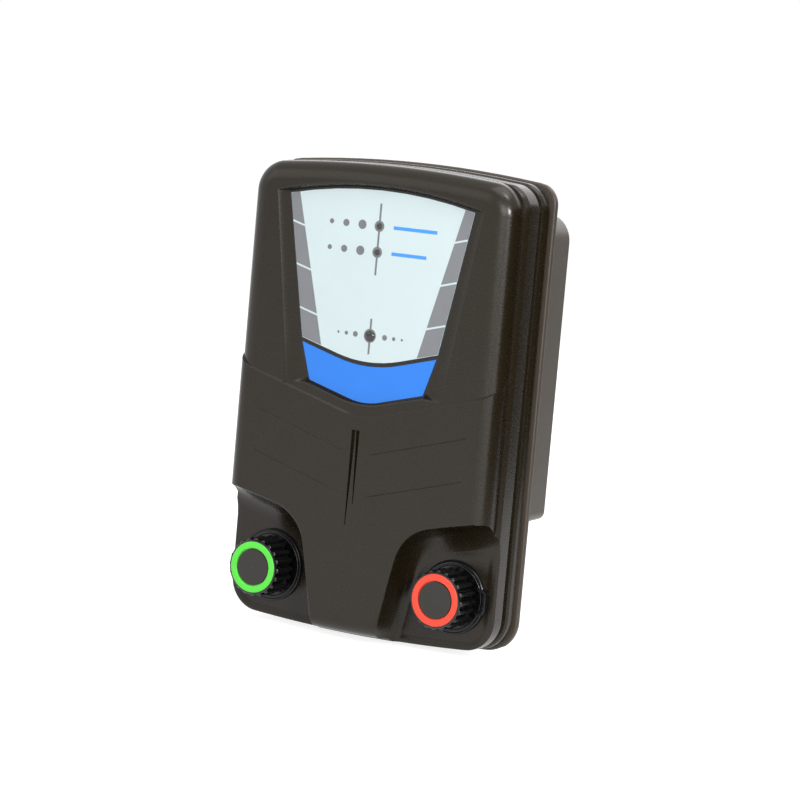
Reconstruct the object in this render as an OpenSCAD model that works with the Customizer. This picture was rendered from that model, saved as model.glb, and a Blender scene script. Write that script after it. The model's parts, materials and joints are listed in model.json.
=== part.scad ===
// Fence energizer: a wall-hung pulse unit with two screw terminals.
// Frame: origin at the centre of the wall face, +Z up, the front looks along -Y.

/* [Case outline] */
// Width of the flange, the widest part of the case
case_w = 146; // [138:1:156]
// Height of the flange at its middle
case_h = 221.4; // [214:0.2:232]
// Radius of the long arch along the top edge
top_arch_r = 590; // [480:10:900]
// Radius of the long arch along the bottom edge
low_arch_r = 760; // [480:10:900]
// Radius of the flange's upper corners
top_corner_r = 10; // [8:0.5:14]
// Radius of the flange's lower corners
low_corner_r = 15; // [12:0.5:18]
// How far the flange reaches above the box behind it
case_rise = 16.8; // [15:0.1:18]

/* [Depths] */
// Depth of the box behind the flange
box_depth = 33.6; // [30:0.2:40]
// Thickness of the flange
flange_t = 4; // [3:0.5:5]
// Thickness of the seal between the flange and the cover
seal_t = 1.4; // [1:0.2:2]
// Depth of the front cover, from its rear edge to its front face
cover_depth = 30.4; // [28:0.2:33]
// Wall thickness of both mouldings
wall = 2.5; // [2:0.25:3]

/* [Cover steps] */
// How far the raised front stands inside the flange's edge
dome_inset = 3.4; // [3:0.2:4.4]
// Radius of the raised front's corners
dome_corner_r = 15; // [13:0.5:17]
// Radius that rounds the raised front into its sides
dome_r = 7.5; // [5:0.5:9]
// Depth of the raised front before the rim starts
rim_start = 11.9; // [10:0.1:13]
// How far the rim stands inside the flange's edge
rim_inset = 1.6; // [1.4:0.1:2.2]
// Radius of the rim's upper corners
rim_top_r = 12.5; // [9:0.5:14]
// Radius of the rim's lower corners
rim_low_r = 15; // [12:0.5:17]
// Length of the rim along the depth
rim_len = 9.8; // [8:0.2:11]
// How far the rear bead stands inside the flange's edge
bead_inset = 1; // [0.6:0.1:1.4]
// Depth of the groove between the rim and the rear bead
groove_d = 1; // [0.6:0.1:1.4]
// Width of that groove
groove_w = 2.4; // [1.6:0.2:3]

/* [Front face] */
// How far the upper face lies behind the lower one
upper_step = 0.8; // [0.5:0.1:1.2]
// Depth of the label recess below the upper face
recess_d = 2.6; // [1.5:0.1:2.4]
// Distance from the flange's top to the point of the V-shaped step
v_drop = 118; // [116:0.2:120]
// Slope of the V-shaped step in degrees
v_angle = 15; // [13:0.5:17]
// Half width of the recess at its top corners
recess_top_x = 54.8; // [53:0.2:57]
// Half width of the recess at its bottom corners
recess_low_x = 42; // [40:0.5:44]
// Distance from the flange's top to the recess's top corners
recess_drop = 17.5; // [16.5:0.1:19]
// Width of the engraved lines
line_w = 0.7; // [0.4:0.1:1]

/* [Label] */
// Thickness of the label and of the name plate
label_t = 0.4; // [0.3:0.1:0.6]
// Half width of the label at its top corners
label_top_x = 49; // [47:0.5:51]
// Half width of the label at its bottom corners
label_low_x = 36.4; // [35:0.2:38]
// Distance from the flange's top to the label's top corners
label_drop = 19; // [18.5:0.1:21]
// Height of the label's sides
label_side = 65.6; // [63:0.2:67]
// Radius of the label's arched top edge
label_arch_r = 221; // [180:1:260]
// Gap between the label and the name plate
plate_gap = 2.1; // [1.6:0.1:2.6]
// Height of the name plate's sides
plate_side = 17.1; // [15:0.1:19]
// Half width of the name plate at its bottom corners
plate_low_x = 30.4; // [29:0.2:32]

/* [Lamps] */
// Diameter of the two small lamps
lamp_d = 3; // [3:0.5:4]
// Diameter of the large lamp
big_lamp_d = 5; // [4.5:0.5:6]
// Distances from the flange's top to the three lamps
lamp_drops = [29.8, 41.7, 80];
// Clearance round a lamp
lamp_gap = 0.2; // [0.15:0.05:0.4]

/* [Terminals] */
// Distance of a terminal from the flange's side
term_side = 23.6; // [22:0.2:26]
// Height of a terminal above the flange's bottom
term_rise = 27.2; // [25:0.2:29]
// Depth of the terminal bays below the lower face
bay_d = 15.2; // [14:0.2:17]
// Radius of the threaded stud
stud_r = 3; // [2.5:0.5:3.5]
// Running clearance of the knob on the stud
stud_gap = 0.05; // [0.02:0.01:0.1]
// Radius of the coloured ring, outside
ring_r = 12; // [11:0.25:12.5]
// Radius of the cap inside the coloured ring
cap_r = 8.9; // [8:0.1:9.5]
// Radius over the knob's ribs
knob_r = 13.8; // [13.4:0.1:14.4]
// Length of the knob
knob_len = 13.9; // [11:0.1:15]
// Number of ribs
rib_count = 20; // [16:1:24]
// Outer radius of the collar
collar_r = 17; // [16.5:0.25:17.5]
// Height of the collar's lip above the bay floor
collar_h = 2; // [1.5:0.25:2.5]
// Thickness of the fixed washer and of the clamp washer
washer_t = 1.1; // [0.8:0.1:1.4]

/* [Rear box] */
// Width of the box at the wall face
box_w = 128; // [120:1:132]
// Height of the box at the wall face
box_h = 142.2; // [136:0.2:146]
// Draft of the box: how much wider each side is at the flange
box_draft = 1.5; // [1:0.25:2]
// Radius of the box's upper corners
box_top_r = 12.6; // [10:0.2:14]
// Radius of the box's lower corners
box_low_r = 4; // [3:0.5:6]
// Distance between the two wall screws
keyhole_pitch = 80; // [70:1:84]
// Height of the wall screws' entry holes
keyhole_z = 40; // [36:1:44]
// Radius of an entry hole
keyhole_r = 4.5; // [4.2:0.1:5]
// Width of the hanging slot
slot_w = 4.6; // [4:0.2:5]
// How far the screw slides up in its slot
slot_rise = 9; // [8:0.5:11]

/* [Boards and parts] */
// Thickness of the circuit boards
board_t = 1.6; // [1.2:0.2:2]
// Width of the main board
board_w = 112; // [108:1:114]
// Height of the main board
board_h = 122; // [118:1:126]
// Width of the lamp board
lamp_board_w = 60; // [56:1:64]
// Height of the lamp board
lamp_board_h = 66; // [64:1:68]
// Width of the pulse transformer's core
core_w = 54; // [50:1:56]
// Height of the pulse transformer's core
core_h = 45; // [42:1:48]
// Stack thickness of that core
core_t = 22; // [18:1:24]
// Size of the storage capacitor: width, depth, height
store_size = [30, 34, 58];

/* [Fasteners] */
// Radius of the case screws' shafts
screw_r = 1.5; // [1.25:0.05:1.75]
// Radius of the case screws' heads
screw_head_r = 3; // [2.6:0.1:3.2]
// Clearance between a screw and its hole
screw_gap = 0.1; // [0.05:0.05:0.2]

/* [Hidden] */
$fn = 64;
arch_fn = 256;
corner_fn = 48;
dome_step = 15;
slice_t = 0.2;                      // thickness of the slices that a rounded form is built from
eps = 0.01;
lap = 1;                            // overlap of joined and cut shapes
clear = 5;                          // reach of a cut into open air
touch = 0.1;                        // gap between flat faces of different bodies

// heights, from the middle of the wall face
box_top_z = box_h / 2 + box_draft;
case_top_z = box_top_z + case_rise;
case_mid_z = case_top_z - case_h / 2;
case_low_z = case_top_z - case_h;
v_z = case_top_z - v_drop;
recess_top_z = case_top_z - recess_drop;
label_top_z = case_top_z - label_drop;
label_low_z = label_top_z - label_side;
lamp_z = [for (drop = lamp_drops) case_top_z - drop];
term_z = case_low_z + term_rise;
term_x = case_w / 2 - term_side;

// levels along the depth, from the wall face (0) to the front
box_y = -box_depth;
flange_y = box_y - flange_t;
seal_y = flange_y - seal_t;
front_y = seal_y - cover_depth;
upper_y = front_y + upper_step;
label_y = upper_y + recess_d;
label_back_y = label_y + label_t;
label_wall_y = label_back_y + wall;
rim_y = front_y + rim_start;
groove_y = rim_y + rim_len;
bead_y = groove_y + groove_w;
bay_y = front_y + bay_d;
bay_back_y = bay_y + wall;

// the V-shaped step and the edges that run beside it
v_slope = tan(v_angle);
v_vertex_r = 30;                    // rounds the plate's point
v_label_r = 64;                     // rounds the label's bottom edge
edge_steps = 8;

// fixed lines of the terminal stack
collar_seat = 1;                    // thickness of the collar's disc
collar_lip = 2;                     // width of the collar's lip
spigot_r = 6;
spigot_gap = 0.1;
seat_y = bay_y - collar_seat;
base_washer_y = seat_y - washer_t;
clamp_washer_y = base_washer_y - touch - washer_t;
knob_back_y = clamp_washer_y - touch;
knob_front_y = knob_back_y - knob_len;
washer_r = 9;
washer_gap = 0.08;
stud_bite = 8;                      // thread length inside the knob
stud_tip_y = knob_back_y - stud_bite;
nut_r = 5.8;
nut_t = 5;
lock_nut_t = 3;
stud_spare = 0.8;
lug_t = 0.8;
lug_r = 5;
lug_tail = 9;
lug_barrel = 6;
barrel_r = 2;
nut_y = bay_back_y;
lug_y = nut_y + nut_t;
lock_nut_y = lug_y + lug_t;
stud_end_y = lock_nut_y + lock_nut_t + stud_spare;
ring_t = 2.4;
ring_proud = 0.3;
cap_t = 2;
cap_back = 0.2;                     // how far the cap lies behind the ring
insert_r = 5;
insert_end = 0.5;                   // thickness of the insert's closed end
insert_front = 4;                   // from the insert's closed end to the knob's front
insert_len = knob_len - insert_front;
rib_r = 1.2;
tab_w = 3.4;
tab_h = 13;
tab_t = 3.2;
wire_slot = 3;

// case screws and their bosses
boss_r = 4;
top_screw_in = [21, 10.9];          // from the flange's side and top
low_screw_in = [13, 12];            // from the flange's side and bottom
mid_screw_in = [8.9, 10];           // from the flange's top and bottom
top_screw_x = case_w / 2 - top_screw_in[0];
top_screw_z = case_top_z - top_screw_in[1];
low_screw_x = case_w / 2 - low_screw_in[0];
low_screw_z = case_low_z + low_screw_in[1];
mid_screw_top_z = case_top_z - mid_screw_in[0];
mid_screw_low_z = case_low_z + mid_screw_in[1];
screw_head_t = 2.2;
cross_l = 4;                        // the cross slot in a head
cross_w = 0.8;
cross_d = 1.6;
screw_grip = 8;                     // thread length inside a boss
case_screw_at = [
    [-top_screw_x, top_screw_z], [top_screw_x, top_screw_z], [0, mid_screw_top_z],
    [-low_screw_x, low_screw_z], [low_screw_x, low_screw_z], [0, mid_screw_low_z]];

// keyhole pockets in the rear wall
pocket_wall = 1.5;
pocket_d = 3;
pocket_h = keyhole_r + slot_rise + keyhole_r;

// boards
board_gap = 6.5;                    // from the rear wall to the main board
board_back_y = -wall - board_gap;
board_y = board_back_y - board_t;
board_screw_in = 5;
board_screw_bite = 5;               // thread length inside a standoff
board_screw_x = board_w / 2 - board_screw_in;
board_screw_z = board_h / 2 - board_screw_in;
small_screw_r = 1.25;
small_head_r = 2.6;
small_head_t = 1.8;
standoff_r = 3.4;
lamp_board_gap = 2.1;               // from the cover's inside to the lamp board
lamp_board_y = label_wall_y + lamp_board_gap;
lamp_board_z = (lamp_z[0] + lamp_z[2]) / 2;
lamp_screw_in = 4;
lamp_screw_x = lamp_board_w / 2 - lamp_screw_in;
lamp_screw_z = lamp_board_h / 2 - lamp_screw_in;
lamp_screw_bite = 3.2;

// parts on the main board
core_x = 26;
core_z = -34;
leg_w = core_w / 3;
yoke = core_w / 6;
coil_play = 0.3;
coil_wall = 8.2;
coil_t = core_t + 2 * coil_wall;
core_mid_y = board_y - coil_t / 2;
store_x = -31;
store_z = -28;
small_core = [30, 12, 25];
small_window = [7, 17];             // width and height of each window
small_leg = 10;
small_coil_t = 20;
small_core_x = 32;
small_core_z = 18;
sink_size = [26, 26, 3];
sink_x = -42;
sink_z = 26;
sink_fins = 5;
fin_t = 2;
fin_h = 8;
tab_part = [10, 4.5, 15];
tab_leg = 4;
tab_leg_pitch = 2.5;
chip_size = [9, 3.4, 22];
chip_x = -4;
chip_z = 34;
fuse_len = 20;
fuse_r = 2.6;
fuse_x = 2;
fuse_z = 55;
clip_size = [5, 8, 7];
fuse_gap = 0.05;
bulk_r = 8;
bulk_len = 25;
bulk_x = 38;
bulk_z = 46;
disc_r = 7;
disc_t = 4.5;
disc_x = -18;
disc_z = 14;
disc_leg = 4;
disc_pitch = 5;
rectifier_len = 9;
rectifier_r = 2.2;
rectifier_x = -8;
rectifier_pitch = 6.5;
rectifier_z = 5;

// power socket in the underside of the box
socket_x = -8;
socket_y = -19;
socket_r = 4;
socket_flange_r = 5.6;
socket_bore_r = 2.9;
socket_pin_r = 1;
socket_len = 13;
socket_flange_t = 1.6;
socket_nut_t = 2.4;
socket_nut_r = 6.4;
socket_gap = 0.1;
socket_end_t = 2;

// leads
lead_r = 1.4;
lead_sides = 8;
power_lead_r = 1;
ribbon_w = 12;
ribbon_t = 1;

// ---- helpers -------------------------------------------------------------

// a flat shape in X and Z, given its depth from y0 back to y1
module between(y0, y1) {
    translate([0, y1, 0]) rotate([90, 0, 0]) linear_extrude(y1 - y0) children();
}

// a round bar along the depth
module bar(x, z, y0, y1, r) {
    translate([x, y1, z]) rotate([90, 0, 0]) cylinder(h = y1 - y0, r = r);
}

module bar_at(places, y0, y1, r) {
    for (p = places) bar(p[0], p[1], y0, y1, r);
}

// a block given by its middle and size
module block(middle, size) {
    translate(middle) cube(size, center = true);
}

// the upper half of a case outline with its corners rounded by r and an arched top edge
module half_outline(inset, r, arch) {
    side = case_w / 2 - inset;
    corner_x = side - r;
    corner_z = case_h / 2 - arch + sqrt(pow(arch - inset - r, 2) - pow(corner_x, 2));
    meet_x = corner_x * (arch - inset) / (arch - inset - r);
    translate([-side, -lap]) square([2 * side, corner_z + lap]);
    for (x = [-corner_x, corner_x]) translate([x, corner_z]) circle(r, $fn = corner_fn);
    intersection() {
        translate([0, case_h / 2 - arch]) circle(arch - inset, $fn = arch_fn);
        translate([-meet_x, 0]) square([2 * meet_x, case_h]);
    }
}

// the whole outline, set in by an amount, upper and lower corners given apart
module outline(inset, top_r, low_r) {
    translate([0, case_mid_z]) {
        half_outline(inset, top_r, top_arch_r);
        mirror([0, 1]) half_outline(inset, low_r, low_arch_r);
    }
}

// a slab of the cover's rim, whose corners stay in step with the inset
module rim_layer(inset, y0, y1) {
    step = rim_inset - inset;
    between(y0, y1) outline(inset, rim_top_r + step, rim_low_r + step);
}

// a slice of the raised front, whose four corners share one radius
module dome_slice(inset, y0, y1) {
    r = dome_corner_r + dome_inset - inset;
    between(y0, y1) outline(inset, r, r);
}

// the raised front as thin slices that follow the rounding from the front (0) to the side (90)
module dome(grow, front, back) {
    round_r = dome_r - grow;
    hull() {
        for (a = [0 : dome_step : 90]) {
            sink = round_r * (1 - sin(a));
            y = front + round_r * (1 - cos(a));
            dome_slice(dome_inset + grow + sink, y, y + slice_t);
        }
        dome_slice(dome_inset + grow, back - slice_t, back);
    }
}

// a V-shaped edge: straight sides at v_angle, rounded at the point, left to right
function v_edge(x, corner_h, r) = let (reach = min(r * sin(v_angle), x)) concat(
    [[-x, corner_h]],
    [for (i = [0 : edge_steps]) let (a = -v_angle + 2 * v_angle * i / edge_steps)
        [r * sin(a) * reach / (r * sin(v_angle)),
         corner_h - (x - reach) * v_slope - r * (cos(a) - cos(v_angle)) * reach / (r * sin(v_angle))]],
    [[x, corner_h]]);

// the arched top edge, right to left
function arch_edge(x, corner_h, r) = [for (i = [0 : edge_steps])
    let (a = asin(x / r) * (1 - 2 * i / edge_steps))
        [r * sin(a), corner_h + r * (cos(a) - cos(asin(x / r)))]];

function reversed(list) = [for (i = [len(list) - 1 : -1 : 0]) list[i]];

plate_top_z = label_low_z - plate_gap;
plate_top_x = label_low_x - 0.5;
plate_low_z = plate_top_z - plate_side;

module label_shape() {
    polygon(concat(v_edge(label_low_x, label_low_z, v_label_r),
        arch_edge(label_top_x, label_top_z, label_arch_r)));
}

module plate_shape() {
    polygon(concat(v_edge(plate_low_x, plate_low_z, v_vertex_r),
        reversed(v_edge(plate_top_x, plate_top_z, v_label_r))));
}

// floor and mouth of the label recess
recess_edge = 0.8;
recess_low_z = v_z + recess_low_x * v_slope + 1.3;

module recess_floor_shape() {
    polygon(concat(v_edge(plate_low_x + recess_edge, plate_low_z - recess_edge, v_vertex_r),
        [[label_low_x + recess_edge, label_low_z]],
        arch_edge(label_top_x + recess_edge, label_top_z + recess_edge, label_arch_r),
        [[-label_low_x - recess_edge, label_low_z]]));
}

module recess_mouth_shape() {
    polygon(concat(v_edge(recess_low_x, recess_low_z, v_vertex_r),
        arch_edge(recess_top_x, recess_top_z, label_arch_r)));
}

// the face above the V-shaped step
module upper_shape() {
    polygon(concat(v_edge(case_w, v_z + case_w * v_slope, v_vertex_r),
        [[case_w, case_h], [-case_w, case_h]]));
}

// one terminal bay at a depth share t, 0 at the front and 1 at its floor, set out by grow:
// a sloping upper edge and a leaning inner side, joined by a rounded corner
bay_h = 65.1;                       // from the flange's bottom to the upper edges' meeting point
bay_top_z = case_low_z + bay_h;
bay_lean = 12.5;                    // slope of the bay's upper edge in degrees
bay_inside = 24.9;                  // from the terminal to the inner side
bay_side_rise = 38.5;
bay_side_x = term_x - bay_inside;
bay_side_z = case_low_z + bay_side_rise;
bay_tilt = 12.3;                    // lean of the bay's inner side in degrees
bay_corner_r = 17.5;
bay_floor_r = 13;
bay_ramp = 13;                      // how far the upper wall runs down to the floor
bay_side_run = 2;
bay_turn = 22.5;                    // step of the slices that round the bay's walls

module bay_shape(t, grow) {
    side = bay_side_x + bay_side_run * t - grow;
    top = bay_top_z - bay_ramp * t + grow;
    r = bay_corner_r + (bay_floor_r - bay_corner_r) * t;
    up = [sin(bay_lean), -cos(bay_lean)];
    inner = [cos(bay_tilt), -sin(bay_tilt)];
    from_up = r + [case_w / 2, top] * up;
    from_inner = r + [side, bay_side_z] * inner;
    turn = cos(bay_lean + bay_tilt);
    c = [(from_inner * cos(bay_lean) - from_up * sin(bay_tilt)) / turn,
         (from_inner * sin(bay_lean) - from_up * cos(bay_tilt)) / turn];
    translate(c) circle(r, $fn = 32);
    polygon([[case_w, -case_h], [case_w, top + case_w / 2 * tan(bay_lean)], c - r * up,
        c - r * inner, [side - (case_h + bay_side_z) * tan(bay_tilt), -case_h]]);
}

module bay(grow) {
    hull() for (a = [0 : bay_turn : 90]) {
        y = front_y - eps + (bay_d + grow) * sin(a);
        between(y, y + slice_t) bay_shape(1 - cos(a), grow);
    }
    between(front_y - clear, front_y) bay_shape(0, grow);
}

// the box behind the flange at one depth: w, h from its middle, low corners sharper
module box_shape(grow, edge) {
    x = box_w / 2 + grow - edge;
    z = box_h / 2 + grow - edge;
    top_r = box_top_r + grow - edge;
    low_r = max(box_low_r + grow - edge, 1);
    for (s = [-1, 1]) {
        translate([s * (x - top_r), z - top_r]) circle(top_r, $fn = 48);
        translate([s * (x - low_r), low_r - z]) circle(low_r, $fn = 32);
    }
}

module box_hull(grow, y_wall, y_flange, edge) {
    hull() {
        between(y_wall - eps, y_wall) box_shape(grow, edge);
        between(y_wall - edge - eps, y_wall - edge) box_shape(grow, 0);
        between(y_flange, y_flange + eps) box_shape(grow + box_draft, 0);
    }
}

// a tube swept along a list of points
function unit(v) = v / norm(v);
function ahead(p, i) = unit(p[min(i + 1, len(p) - 1)] - p[max(i - 1, 0)]);

module tube(points, r, across) {
    n = len(points);
    rings = [for (i = [0 : n - 1])
        let (d = ahead(points, i), s = unit(cross(d, across)), t = cross(d, s))
        for (k = [0 : lead_sides - 1]) let (a = 360 * k / lead_sides)
            points[i] + r * (cos(a) * s + sin(a) * t)];
    polyhedron(rings, concat(
        [[for (k = [0 : lead_sides - 1]) k]],
        [for (i = [0 : n - 2], k = [0 : lead_sides - 1]) let (k2 = (k + 1) % lead_sides)
            [i * lead_sides + k, (i + 1) * lead_sides + k,
             (i + 1) * lead_sides + k2, i * lead_sides + k2]],
        [[for (k = [lead_sides - 1 : -1 : 0]) (n - 1) * lead_sides + k]]));
}

// ---- mouldings -----------------------------------------------------------

module cover_outside() {
    difference() {
        dome(0, front_y, groove_y);
        between(front_y - clear, upper_y) upper_shape();
    }
    rim_layer(rim_inset, rim_y, groove_y);
    rim_layer(rim_inset + groove_d, groove_y - eps, bead_y + eps);
    rim_layer(bead_inset, bead_y, seal_y);
}

module cover_inside() {
    difference() {
        union() {
            dome(wall, front_y + wall, seal_y + eps);
            rim_layer(rim_inset + groove_d + wall, groove_y, seal_y + eps);
        }
        between(front_y, label_wall_y) recess_mouth_shape();
        for (side = [0, 1]) mirror([side, 0, 0]) bay(wall);
        bar_at(case_screw_at, front_y, seal_y, boss_r);
        for (x = [-lamp_screw_x, lamp_screw_x], z = [-lamp_screw_z, lamp_screw_z])
            bar(x, lamp_board_z + z, front_y, lamp_board_y, standoff_r);
    }
}

// the long groove in the middle and the four fine lines
groove_drop = 5;                    // below the point of the V-shaped step
groove_top_z = v_z - groove_drop;
groove_long = 44;
groove_short = 34;
groove_half = 2.6;
line_in_x = 9.5;
line_out_x = 55.5;
line_drops = [16.5, 35.5];
line_d = 0.35;
line_rise = (line_out_x - line_in_x) * v_slope;

module face_lines() {
    between(front_y - 1, front_y + 2 * line_d) {
        polygon([[-groove_half, groove_top_z], [-0.4, groove_top_z], [-1.2, groove_top_z - groove_long]]);
        polygon([[0.4, groove_top_z], [groove_half, groove_top_z], [1.2, groove_top_z - groove_short]]);
    }
    between(front_y - 1, front_y + line_d)
        for (s = [-1, 1], drop = line_drops) let (z = v_z - drop, out_z = z + line_rise)
            polygon([[s * line_in_x, z], [s * line_out_x, out_z],
                [s * line_out_x, out_z + line_w], [s * line_in_x, z + line_w]]);
}

module front_cover() {
    color([0.25, 0.235, 0.21]) difference() {
        cover_outside();
        cover_inside();
        hull() {
            between(upper_y - eps, upper_y) recess_mouth_shape();
            between(label_back_y - eps, label_back_y) recess_floor_shape();
        }
        for (side = [0, 1]) mirror([side, 0, 0]) {
            bay(0);
            bar(term_x, term_z, bay_y - 1, bay_back_y + 1, spigot_r + spigot_gap);
        }
        face_lines();
        for (i = [0 : 2])
            bar(0, lamp_z[i], label_back_y - 1, label_wall_y + 1,
                (i == 2 ? big_lamp_d : lamp_d) / 2 + lamp_gap);
        bar_at(case_screw_at, seal_y - screw_grip - 1, seal_y + 1, screw_r + screw_gap);
        for (x = [-lamp_screw_x, lamp_screw_x], z = [-lamp_screw_z, lamp_screw_z])
            bar(x, lamp_board_z + z, lamp_board_y - lamp_screw_bite - 0.3, lamp_board_y + 1,
                small_screw_r + screw_gap);
    }
}

seal_inset = 2.2;
seal_w = 2;

module case_seal() {
    color([0.09, 0.09, 0.09]) between(seal_y, flange_y) difference() {
        outline(seal_inset, top_corner_r - seal_inset, low_corner_r - seal_inset);
        outline(seal_inset + seal_w, top_corner_r - seal_inset - seal_w,
            low_corner_r - seal_inset - seal_w);
    }
}

module keyhole(x) {
    bar(x, keyhole_z, -wall - pocket_d, 1, keyhole_r);
    between(-wall - pocket_d, 1) translate([x - slot_w / 2, keyhole_z]) square([slot_w, slot_rise]);
    bar(x, keyhole_z + slot_rise, -wall - pocket_d, 1, slot_w / 2);
    bar(x, keyhole_z + slot_rise, -wall - pocket_d, -wall, keyhole_r);
    between(-wall - pocket_d, -wall)
        translate([x - keyhole_r, keyhole_z]) square([2 * keyhole_r, slot_rise]);
}

module rear_case() {
    color([0.42, 0.41, 0.38]) difference() {
        union() {
            between(flange_y, box_y) outline(0, top_corner_r, low_corner_r);
            difference() {
                box_hull(0, 0, box_y, 1.5);
                box_hull(-wall, -wall, flange_y - 1, 1);
            }
            intersection() {
                between(-wall - pocket_d - pocket_wall, -wall + eps)
                    for (x = [-keyhole_pitch / 2, keyhole_pitch / 2])
                        translate([x - keyhole_r - pocket_wall, keyhole_z - keyhole_r - pocket_wall])
                            square([2 * (keyhole_r + pocket_wall), pocket_h + 2 * pocket_wall]);
                box_hull(-wall / 2, -wall / 2, flange_y, 1);
            }
            for (x = [-board_screw_x, board_screw_x], z = [-board_screw_z, board_screw_z])
                bar(x, z, board_back_y, -wall / 2, standoff_r);
        }
        between(flange_y - 1, box_y + eps) hull() box_shape(-wall, 0);
        for (x = [-keyhole_pitch / 2, keyhole_pitch / 2]) keyhole(x);
        bar_at(case_screw_at, flange_y - 1, box_y + 1, screw_r + screw_gap);
        for (x = [-board_screw_x, board_screw_x], z = [-board_screw_z, board_screw_z])
            bar(x, z, board_back_y - 1, -wall, small_screw_r + screw_gap);
        translate([socket_x, socket_y, -box_h / 2 - box_draft - 1])
            cylinder(h = wall + box_draft + 2, r = socket_r + socket_gap);
    }
}

module case_screws() {
    color([0.7, 0.7, 0.72]) for (p = case_screw_at) difference() {
        union() {
            bar(p[0], p[1], box_y, box_y + screw_head_t, screw_head_r);
            bar(p[0], p[1], seal_y - screw_grip, box_y, screw_r);
        }
        for (size = [[cross_l, cross_d, cross_w], [cross_w, cross_d, cross_l]])
            block([p[0], box_y + screw_head_t, p[1]], size);
    }
}

// ---- label and lamps -----------------------------------------------------

module label_plate() {
    color([0.81, 0.86, 0.87]) between(label_y, label_back_y) difference() {
        label_shape();
        for (i = [0 : 2]) translate([0, lamp_z[i]])
            circle((i == 2 ? big_lamp_d : lamp_d) / 2 + lamp_gap, $fn = 32);
    }
}

module name_plate() {
    color([0.2, 0.55, 0.97]) between(label_y, label_back_y) plate_shape();
}

lamp_proud = 0.3;
lamp_foot_t = 1;
lamp_foot = 0.5;

module lamp(z, d) {
    r = d / 2;
    bar(0, z, label_y + r / 2 - lamp_proud, lamp_board_y, r);
    translate([0, label_y + r / 2 - lamp_proud, z]) intersection() {
        sphere(r = r);
        block([0, -r / 4, 0], [d, r / 2, d]);
    }
    bar(0, z, lamp_board_y - lamp_foot_t, lamp_board_y, r + lamp_foot);
}

module input_lamp() { color([0.25, 0.3, 0.25]) lamp(lamp_z[0], lamp_d); }
module pulse_lamp() { color([0.25, 0.3, 0.25]) lamp(lamp_z[1], lamp_d); }
module fence_lamp() { color([0.25, 0.3, 0.25]) lamp(lamp_z[2], big_lamp_d); }

module lamp_board() {
    color([0.1, 0.4, 0.2]) difference() {
        block([0, lamp_board_y + board_t / 2, lamp_board_z], [lamp_board_w, board_t, lamp_board_h]);
        for (x = [-lamp_screw_x, lamp_screw_x], z = [-lamp_screw_z, lamp_screw_z])
            bar(x, lamp_board_z + z, lamp_board_y - 1, lamp_board_y + board_t + 1,
                small_screw_r + screw_gap);
    }
}

module lamp_board_screws() {
    back = lamp_board_y + board_t;
    color([0.7, 0.7, 0.72])
        for (x = [-lamp_screw_x, lamp_screw_x], z = [-lamp_screw_z, lamp_screw_z]) {
            bar(x, lamp_board_z + z, lamp_board_y - lamp_screw_bite, back, small_screw_r);
            bar(x, lamp_board_z + z, back, back + small_head_t, small_head_r);
        }
}

// a flat lead with one fold between the two boards
ribbon_sag = 6;
ribbon_clear = 1.5;                 // to the rectifiers beside it
ribbon_head_z = lamp_board_z - lamp_board_h / 2 + lap;
ribbon_foot_z = rectifier_z - ribbon_t - ribbon_clear;

module ribbon_lead() {
    front = lamp_board_y + board_t;
    middle = (front + board_y) / 2;
    fold_z = ribbon_foot_z - ribbon_sag;
    color([0.55, 0.55, 0.58]) translate([-ribbon_w / 2, 0, 0]) rotate([90, 0, 90])
        linear_extrude(ribbon_w) polygon([
            [front, ribbon_head_z], [middle, fold_z], [board_y, ribbon_foot_z],
            [board_y, ribbon_foot_z + ribbon_t], [middle, fold_z + ribbon_t],
            [front, ribbon_head_z + ribbon_t]]);
}

// ---- electronics ---------------------------------------------------------

module main_board() {
    color([0.1, 0.4, 0.2]) difference() {
        block([0, board_y + board_t / 2, 0], [board_w, board_t, board_h]);
        for (x = [-board_screw_x, board_screw_x], z = [-board_screw_z, board_screw_z])
            bar(x, z, board_y - 1, board_back_y + 1, small_screw_r + screw_gap);
    }
}

module board_screws() {
    color([0.7, 0.7, 0.72])
        for (x = [-board_screw_x, board_screw_x], z = [-board_screw_z, board_screw_z]) {
            bar(x, z, board_y, board_back_y + board_screw_bite, small_screw_r);
            bar(x, z, board_y - small_head_t, board_y, small_head_r);
        }
}

module transformer_core() {
    window = [(core_w - leg_w - 2 * yoke) / 2, core_t + 2, core_h - 2 * yoke];
    color([0.35, 0.36, 0.38]) difference() {
        block([core_x, core_mid_y, core_z], [core_w, core_t, core_h]);
        for (s = [-1, 1])
            block([core_x + s * (leg_w + window[0]) / 2, core_mid_y, core_z], window);
    }
}

module transformer_coil() {
    window_w = (core_w - leg_w - 2 * yoke) / 2;
    coil_w = leg_w + 2 * (window_w - coil_play);
    coil_h = core_h - 2 * yoke - 2 * coil_play;
    color([0.62, 0.35, 0.15]) difference() {
        block([core_x, core_mid_y, core_z], [coil_w, coil_t, coil_h]);
        block([core_x, core_mid_y, core_z],
            [leg_w + 2 * coil_play, core_t + 2 * coil_play, coil_h + 1]);
    }
}

clamp_t = 1.2;
clamp_foot = 9;
clamp_h = 14;

module transformer_clamp() {
    front = core_mid_y - core_t / 2;
    color([0.66, 0.67, 0.7]) for (s = [-1, 1]) {
        x = core_x + s * (core_w / 2 + clamp_t / 2);
        block([x, (front + board_y) / 2, core_z], [clamp_t, board_y - front, clamp_h]);
        block([x - s * (clamp_foot + clamp_t) / 2, board_y - clamp_t / 2, core_z],
            [clamp_foot, clamp_t, clamp_h]);
    }
}

module storage_capacitor() {
    color([0.85, 0.55, 0.12])
        block([store_x, board_y - store_size[1] / 2, store_z], store_size);
}

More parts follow.
